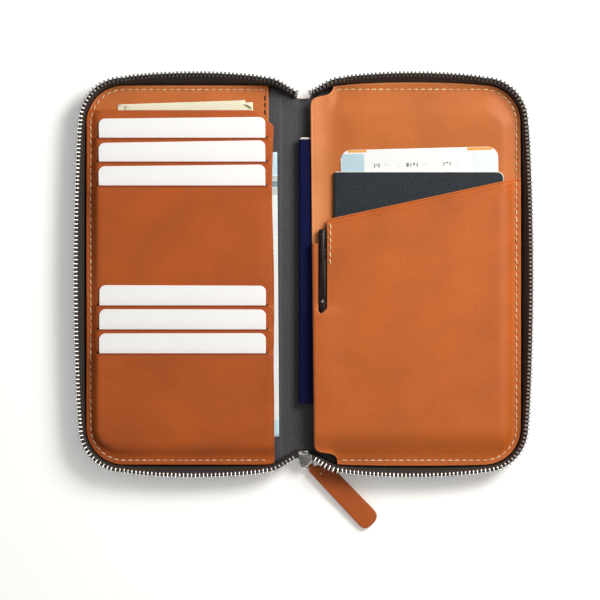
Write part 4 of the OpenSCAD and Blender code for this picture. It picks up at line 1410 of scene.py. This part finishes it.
def card(k):
    """A plain card in slot k; those in the lower three sit a little further right."""
    node = CARDS[k]
    outline = rounded_rectangle(CARD_X[0] - CARD_MID, CARD_X[1] - CARD_MID, CARD_SHOW - CARD_H, CARD_SHOW,
                                CARD_R)
    level = slot_level(k) + SHEET_T / 2 + CARD_GAP + CARD_T / 2
    place = (move(CARD_MID + 0.25 * (k > 2), SLOT_Y[k], level) @ turn(CARD_TILT, "X")
             @ turn(math.radians(CARD_TURNS[k])))
    shape = sheet(outline, flat(CARD_T / 2), flat(-CARD_T / 2), rings=(0.08, 0.25), step=9.0, along=3.0,
                  roll=0.1)
    piece(f"{node}_blank", shape.place(place), card_white, node, [node])


for index in range(6):
    card(index)


def banknote(node, angle, lift, curl, leaf=()):
    """A note that leans a little, with its top edge just out of the pocket; leaf is a printed shape,
    measured from its top right corner."""
    lo, hi = span(node)
    wide, high = hi.x - lo.x, hi.y - lo.y
    print_loop = [(wide + u, high + v) for u, v in leaf]

    def top(x, y):
        wave = curl * (0.4 * np.sin(x / 9.0) + 0.2 * np.sin(x / 3.7))
        return lift + wave * ease((y - high + 22) / 22) + curl * ease((y - high + 9) / 9)

    def region(x, y):
        return 1 if leaf and inside(np.array([(x, y)]), print_loop)[0] else 0

    shape = sheet(rectangle(0, wide, 0, high), top, lambda x, y: top(x, y) - 0.11,
                  lines=[print_loop] if leaf else [], rings=(0.1, 0.6), step=3.0, along=2.5, roll=0.03,
                  region=region)
    drop = math.sin(angle) * wide
    place = move(lo.x + high * math.sin(angle), hi.y - high - drop * 0.97) @ turn(angle)
    piece(f"{node}_sheet", shape.place(place), [note_paper, note_back], node, [node])


NOTE_LEAF = [(-5.2, -0.9), (-3.2, -1.1), (-1.4, -2.1), (-0.5, -3.6), (-1.7, -3.4), (-3.5, -2.3)]
banknote("banknote_rear", math.radians(1.9), span("banknote_rear")[1].z - 0.02, 0.03)
banknote("banknote_front", math.radians(1.7), span("banknote_front")[1].z + 0.07, 0.15, NOTE_LEAF)


# bands of print across the ticket: from and to as shares of its height, which ink
TICKET_BANDS = [(0.0, 0.06, 1), (0.919, 1.0, 1), (0.901, 0.917, 3), (0.877, 0.899, 2), (0.849, 0.875, 3)]
TICKET_LEAN = 1.0       # how far left its top right corner is pushed


def ticket():
    lo, hi = span("ticket")

    def region(x, y):
        t = (y - lo.y) / (hi.y - lo.y)
        return next((kind for a, b, kind in TICKET_BANDS if a <= t < b), 0)

    lines = [rectangle(lo.x + 1, hi.x - TICKET_LEAN - 0.05, lo.y + a * (hi.y - lo.y) + 0.01,
                       lo.y + b * (hi.y - lo.y) - 0.01) for a, b, _ in TICKET_BANDS]
    outline = [(lo.x, lo.y), (hi.x, lo.y), (hi.x - TICKET_LEAN, hi.y), (lo.x, hi.y)]
    shape = sheet(outline, flat(hi.z), flat(lo.z), lines=lines,
                  rings=(0.06, 0.5), step=5.0, along=2.5, roll=0.04, region=region)
    inks = [ticket_white, ticket_blue, ticket_grey, ticket_pale]
    piece("ticket_paper", shape, inks, "ticket", ["ticket"])


ticket()


# ---------------------------------------------------------------- contents of the right half

def booklet(body, material, corner, left_r, head, fore):
    """A bound cover that wraps round its pages, with its rounded spine on the left. The pages show
    past it by head at the top and by fore on the right."""
    lo, hi = span(f"{body}_cover")
    r = (hi.z - lo.z) / 2
    wall, page_in = 0.38, 0.22
    outline = rounded_rectangle(lo.x, hi.x - fore, lo.y, hi.y - head, corner, left_r)

    def bulge(x):
        return r * (1 - np.sqrt(np.maximum(1 - np.maximum(1 - (x - lo.x) / r, 0) ** 2, 0)))

    def front_top(x, y):
        return hi.z - bulge(x) - 0.10 * hump(x - lo.x - 4.2, 0.7) - 0.2 * (1 - ease((x - lo.x) / 8))

    rings = (0.05, 0.13, 0.25, 0.42, 0.62, 0.9, 1.3, 1.8)
    mid = (lo.z + hi.z) / 2
    front = sheet(outline, front_top, lambda x, y: np.maximum(front_top(x, y) - wall, mid - 0.02),
                  rings=rings, roll=0.1, edge_w=0.5)
    back = sheet(outline, lambda x, y: np.minimum(lo.z + wall + bulge(x), mid + 0.02),
                 lambda x, y: lo.z + bulge(x), rings=rings, step=5.0, roll=0.1, edge_w=0.5)
    piece(f"{body}_binding", front.join(back), material, body, [f"{body}_cover"])
    leaves = sheet(rounded_rectangle(lo.x + 0.5, hi.x, lo.y + 0.4, hi.y, corner, left_r),
                   flat(hi.z - wall - page_in), flat(lo.z + wall), rings=(0.1, 0.4), step=8.0, roll=0.12)
    piece(f"{body}_leaves", leaves, pages, body, [f"{body}_pages"])


booklet("notebook", twill, 1.5, 1.2, 0.9, 0.4)
booklet("passport", passport_skin, 3.0, 0.8, 0.3, 0.3)


PASS_L = 152.0
PASS_X = 59.35          # middle of its top edge, in the pocket
# bars in one row of the pass: where from its middle, how wide, how tall, which ink
PASS_BARS = [(-23.3, 0.6, 1.9, 4), (-22.1, 0.5, 1.2, 4), (-21.1, 0.7, 1.9, 4), (-17.6, 0.5, 1.6, 5),
             (-16.5, 0.4, 1.1, 5), (-11.0, 0.3, 2.4, 5), (-6.7, 1.3, 2.0, 4), (-4.6, 0.5, 2.0, 4),
             (-3.2, 0.9, 1.3, 4), (-1.4, 0.6, 2.0, 4), (2.1, 0.5, 1.5, 5), (3.5, 0.4, 1.5, 5),
             (12.3, 0.6, 1.7, 4), (13.5, 1.3, 0.7, 4), (15.5, 0.6, 1.7, 4), (19.1, 0.5, 1.2, 5),
             (31.2, 0.5, 1.5, 4), (32.6, 0.6, 1.5, 4), (36.0, 0.4, 1.3, 5)]


def boarding_pass():
    """A long pass with generic blocks, rules and bars in place of its print."""
    lo, hi = span("boarding_pass")
    angle = math.radians(1.4)
    wide = ((hi.x - lo.x) - PASS_L * math.sin(angle)) / math.cos(angle)
    left, right = -wide / 2, wide / 2
    low = -PASS_L + 3
    marks = [(left + 0.5, left + 12.2, low, -2.1, 1), (left + 3.9, left + 13.6, -1.45, -0.15, 2),
             (right - 15.8, right - 2.8, -1.75, -0.15, 2), (right - 13.2, right - 13.0, low, -2.4, 5),
             (right - 12.9, right - 0.6, low, -2.4, 3)]
    for row in range(9):
        top = -7.4 - 6.1 * row
        marks += [(at, at + wide_by, top - tall, top, kind) for at, wide_by, tall, kind in PASS_BARS]

    def region(x, y):
        return next((kind for x0, x1, y0, y1, kind in marks if x0 < x < x1 and y0 < y < y1), 0)

    outline = rounded_rectangle(left, right, -PASS_L, 0, 5.5)
    shape = sheet(outline, flat(hi.z), flat(lo.z), lines=[rectangle(*m[:4]) for m in marks],
                  rings=(0.06, 0.3), step=6.0, along=3.0, roll=0.05, region=region)
    place = move(PASS_X, hi.y - math.sin(angle) * (wide / 2 - 4.5)) @ turn(angle)
    inks = [pass_white, pass_blue, pass_orange, pass_pale, pass_ink, pass_faint]
    piece("boarding_pass_card", shape.place(place), inks, "boarding_pass", ["boarding_pass"])


boarding_pass()


def pen():
    """Cap with a clip, barrel with a collar, and a metal tip, each turned about the pen's line."""

    def turned(name, node, profile, material):
        shape = lathe(profile).place(move(PEN_X, 0, PEN_Z)).settle()
        piece(name, shape, material, "pen", [node])

    lo, hi = span("pen_cap")
    r = PEN_R
    turned("pen_top", "pen_cap",
           [(lo.y, r - 0.12), (lo.y + 0.1, r), (lo.y + 1.5, r), (lo.y + 1.6, r - 0.1), (lo.y + 1.9, r - 0.1),
            (lo.y + 2.0, r), (hi.y - 1.2, r), (hi.y - 0.6, r - 0.12), (hi.y - 0.2, r - 0.5), (hi.y, r - 1.1)],
           pen_black)
    lo, hi = span("pen_barrel")
    r = PEN_R - 0.05
    turned("pen_body", "pen_barrel",
           [(lo.y, SLIM_R - 0.2), (lo.y + 0.3, SLIM_R - 0.05), (PEN_SLOT_LOW - 1, SLIM_R),
            (PEN_SLOT_LOW + 0.5, SLIM_R + 0.05), (PEN_SLOT_LOW + 1.2, r - 0.1), (PEN_SLOT_LOW + 2, r),
            (hi.y - 3, r), (hi.y - 2.9, r - 0.12), (hi.y - 2.4, r - 0.12), (hi.y - 2.3, r), (hi.y, r)],
           pen_black)
    lo, hi = span("pen_tip")
    turned("pen_point", "pen_tip",
           [(lo.y, 0.22), (lo.y + 1.2, 0.45), (lo.y + 1.5, 0.7), (hi.y - 2.4, SLIM_R - 0.3),
            (hi.y - 2.2, SLIM_R - 0.1), (hi.y - 0.4, SLIM_R), (hi.y, SLIM_R - 0.15)],
           bright_metal)
    lo, hi = span("pen_clip")
    clip = block((lo.x, hi.x), (lo.y + 3, hi.y), (hi.z - 0.5, hi.z), 0.16)
    clip.join(block((lo.x + 0.15, hi.x - 0.15), (hi.y - 2.2, hi.y - 0.2), (lo.z - 0.2, hi.z - 0.3), 0.12))
    piece("pen_clip_bar", clip.settle(), pen_black, "pen", ["pen_clip"])
    profile = [(-0.95, 0.25), (-0.8, 0.62), (-0.35, 0.9), (0.35, 0.9), (0.8, 0.62), (0.95, 0.25)]
    level = hi.z - 0.42
    ball = lathe(profile, 20).place(move(PEN_X, lo.y + 3.2, level))
    ball.points = [(x, y, level + (z - level) * 0.5) for x, y, z in ball.points]
    piece("pen_clip_ball", ball.settle(), bright_metal, "pen")


pen()


# ---------------------------------------------------------------- floor, light and camera

def stage_floor():
    look = Look("floor", (0.93, 0.93, 0.93), 0.6, Emission_Color=(1, 1, 1, 1), Emission_Strength=0.20)
    cloud = look.noise(look.node("TexCoord").outputs["Object"], 0.4, 2.0)
    look.paint((0.965, 0.965, 0.965), ((0.98, 0.98, 0.98), look.spread(cloud, 0.3, 0.7)))
    mesh = bpy.data.meshes.new("floor")
    mesh.from_pydata([(x, y, 0) for x, y in rectangle(-4.0, 4.0, -4.0, 4.0)], [], [(0, 1, 2, 3)])
    mesh.materials.append(look.material)
    floor = bpy.data.objects.new("floor", mesh)
    bpy.context.scene.collection.objects.link(floor)
    floor.location.z = -0.0002


def area_light(name, azimuth, elevation, distance, size, power, color=(1, 1, 1)):
    """A square soft box that looks at the object from a compass azimuth (0 is +Y, 90 is +X)."""
    a, e = math.radians(azimuth), math.radians(elevation)
    out = Vector((math.sin(a) * math.cos(e), math.cos(a) * math.cos(e), math.sin(e)))
    data = bpy.data.lights.new(name, "AREA")
    data.energy, data.size, data.color = power, size, color
    light = bpy.data.objects.new(name, data)
    light.location = out * distance
    light.rotation_mode = "QUATERNION"
    light.rotation_quaternion = out.to_track_quat("Z", "Y")
    bpy.context.scene.collection.objects.link(light)


def world_light(strength):
    world = bpy.data.worlds.new("studio")
    world.use_nodes = True
    background = world.node_tree.nodes["Background"]
    background.inputs["Color"].default_value = (1, 1, 1, 1)
    background.inputs["Strength"].default_value = strength
    bpy.context.scene.world = world


def camera():
    """Straight down, with a long lens from far off."""
    lens, sensor = 180.0, 36.0
    across = 0.3085
    data = bpy.data.cameras.new("camera")
    data.lens, data.sensor_width = lens, sensor
    data.clip_start, data.clip_end = 0.05, 20.0
    cam = bpy.data.objects.new("camera", data)
    cam.location = (-0.0018, -0.0129, 0.008 + across * lens / sensor)
    bpy.context.scene.collection.objects.link(cam)
    bpy.context.scene.camera = cam


stage_floor()
area_light("key", 52, 40, 0.8, 0.4, 7.5, (1.0, 0.99, 0.965))
area_light("near", 70, 58, 0.75, 0.6, 1.25, (1.0, 0.9, 0.66))
area_light("low", 195, 15, 1.2, 0.45, 2.8)
area_light("fill", -75, 34, 1.5, 1.0, 2.4)
world_light(0.17)
camera()
bpy.context.scene.view_settings.view_transform = "Standard"
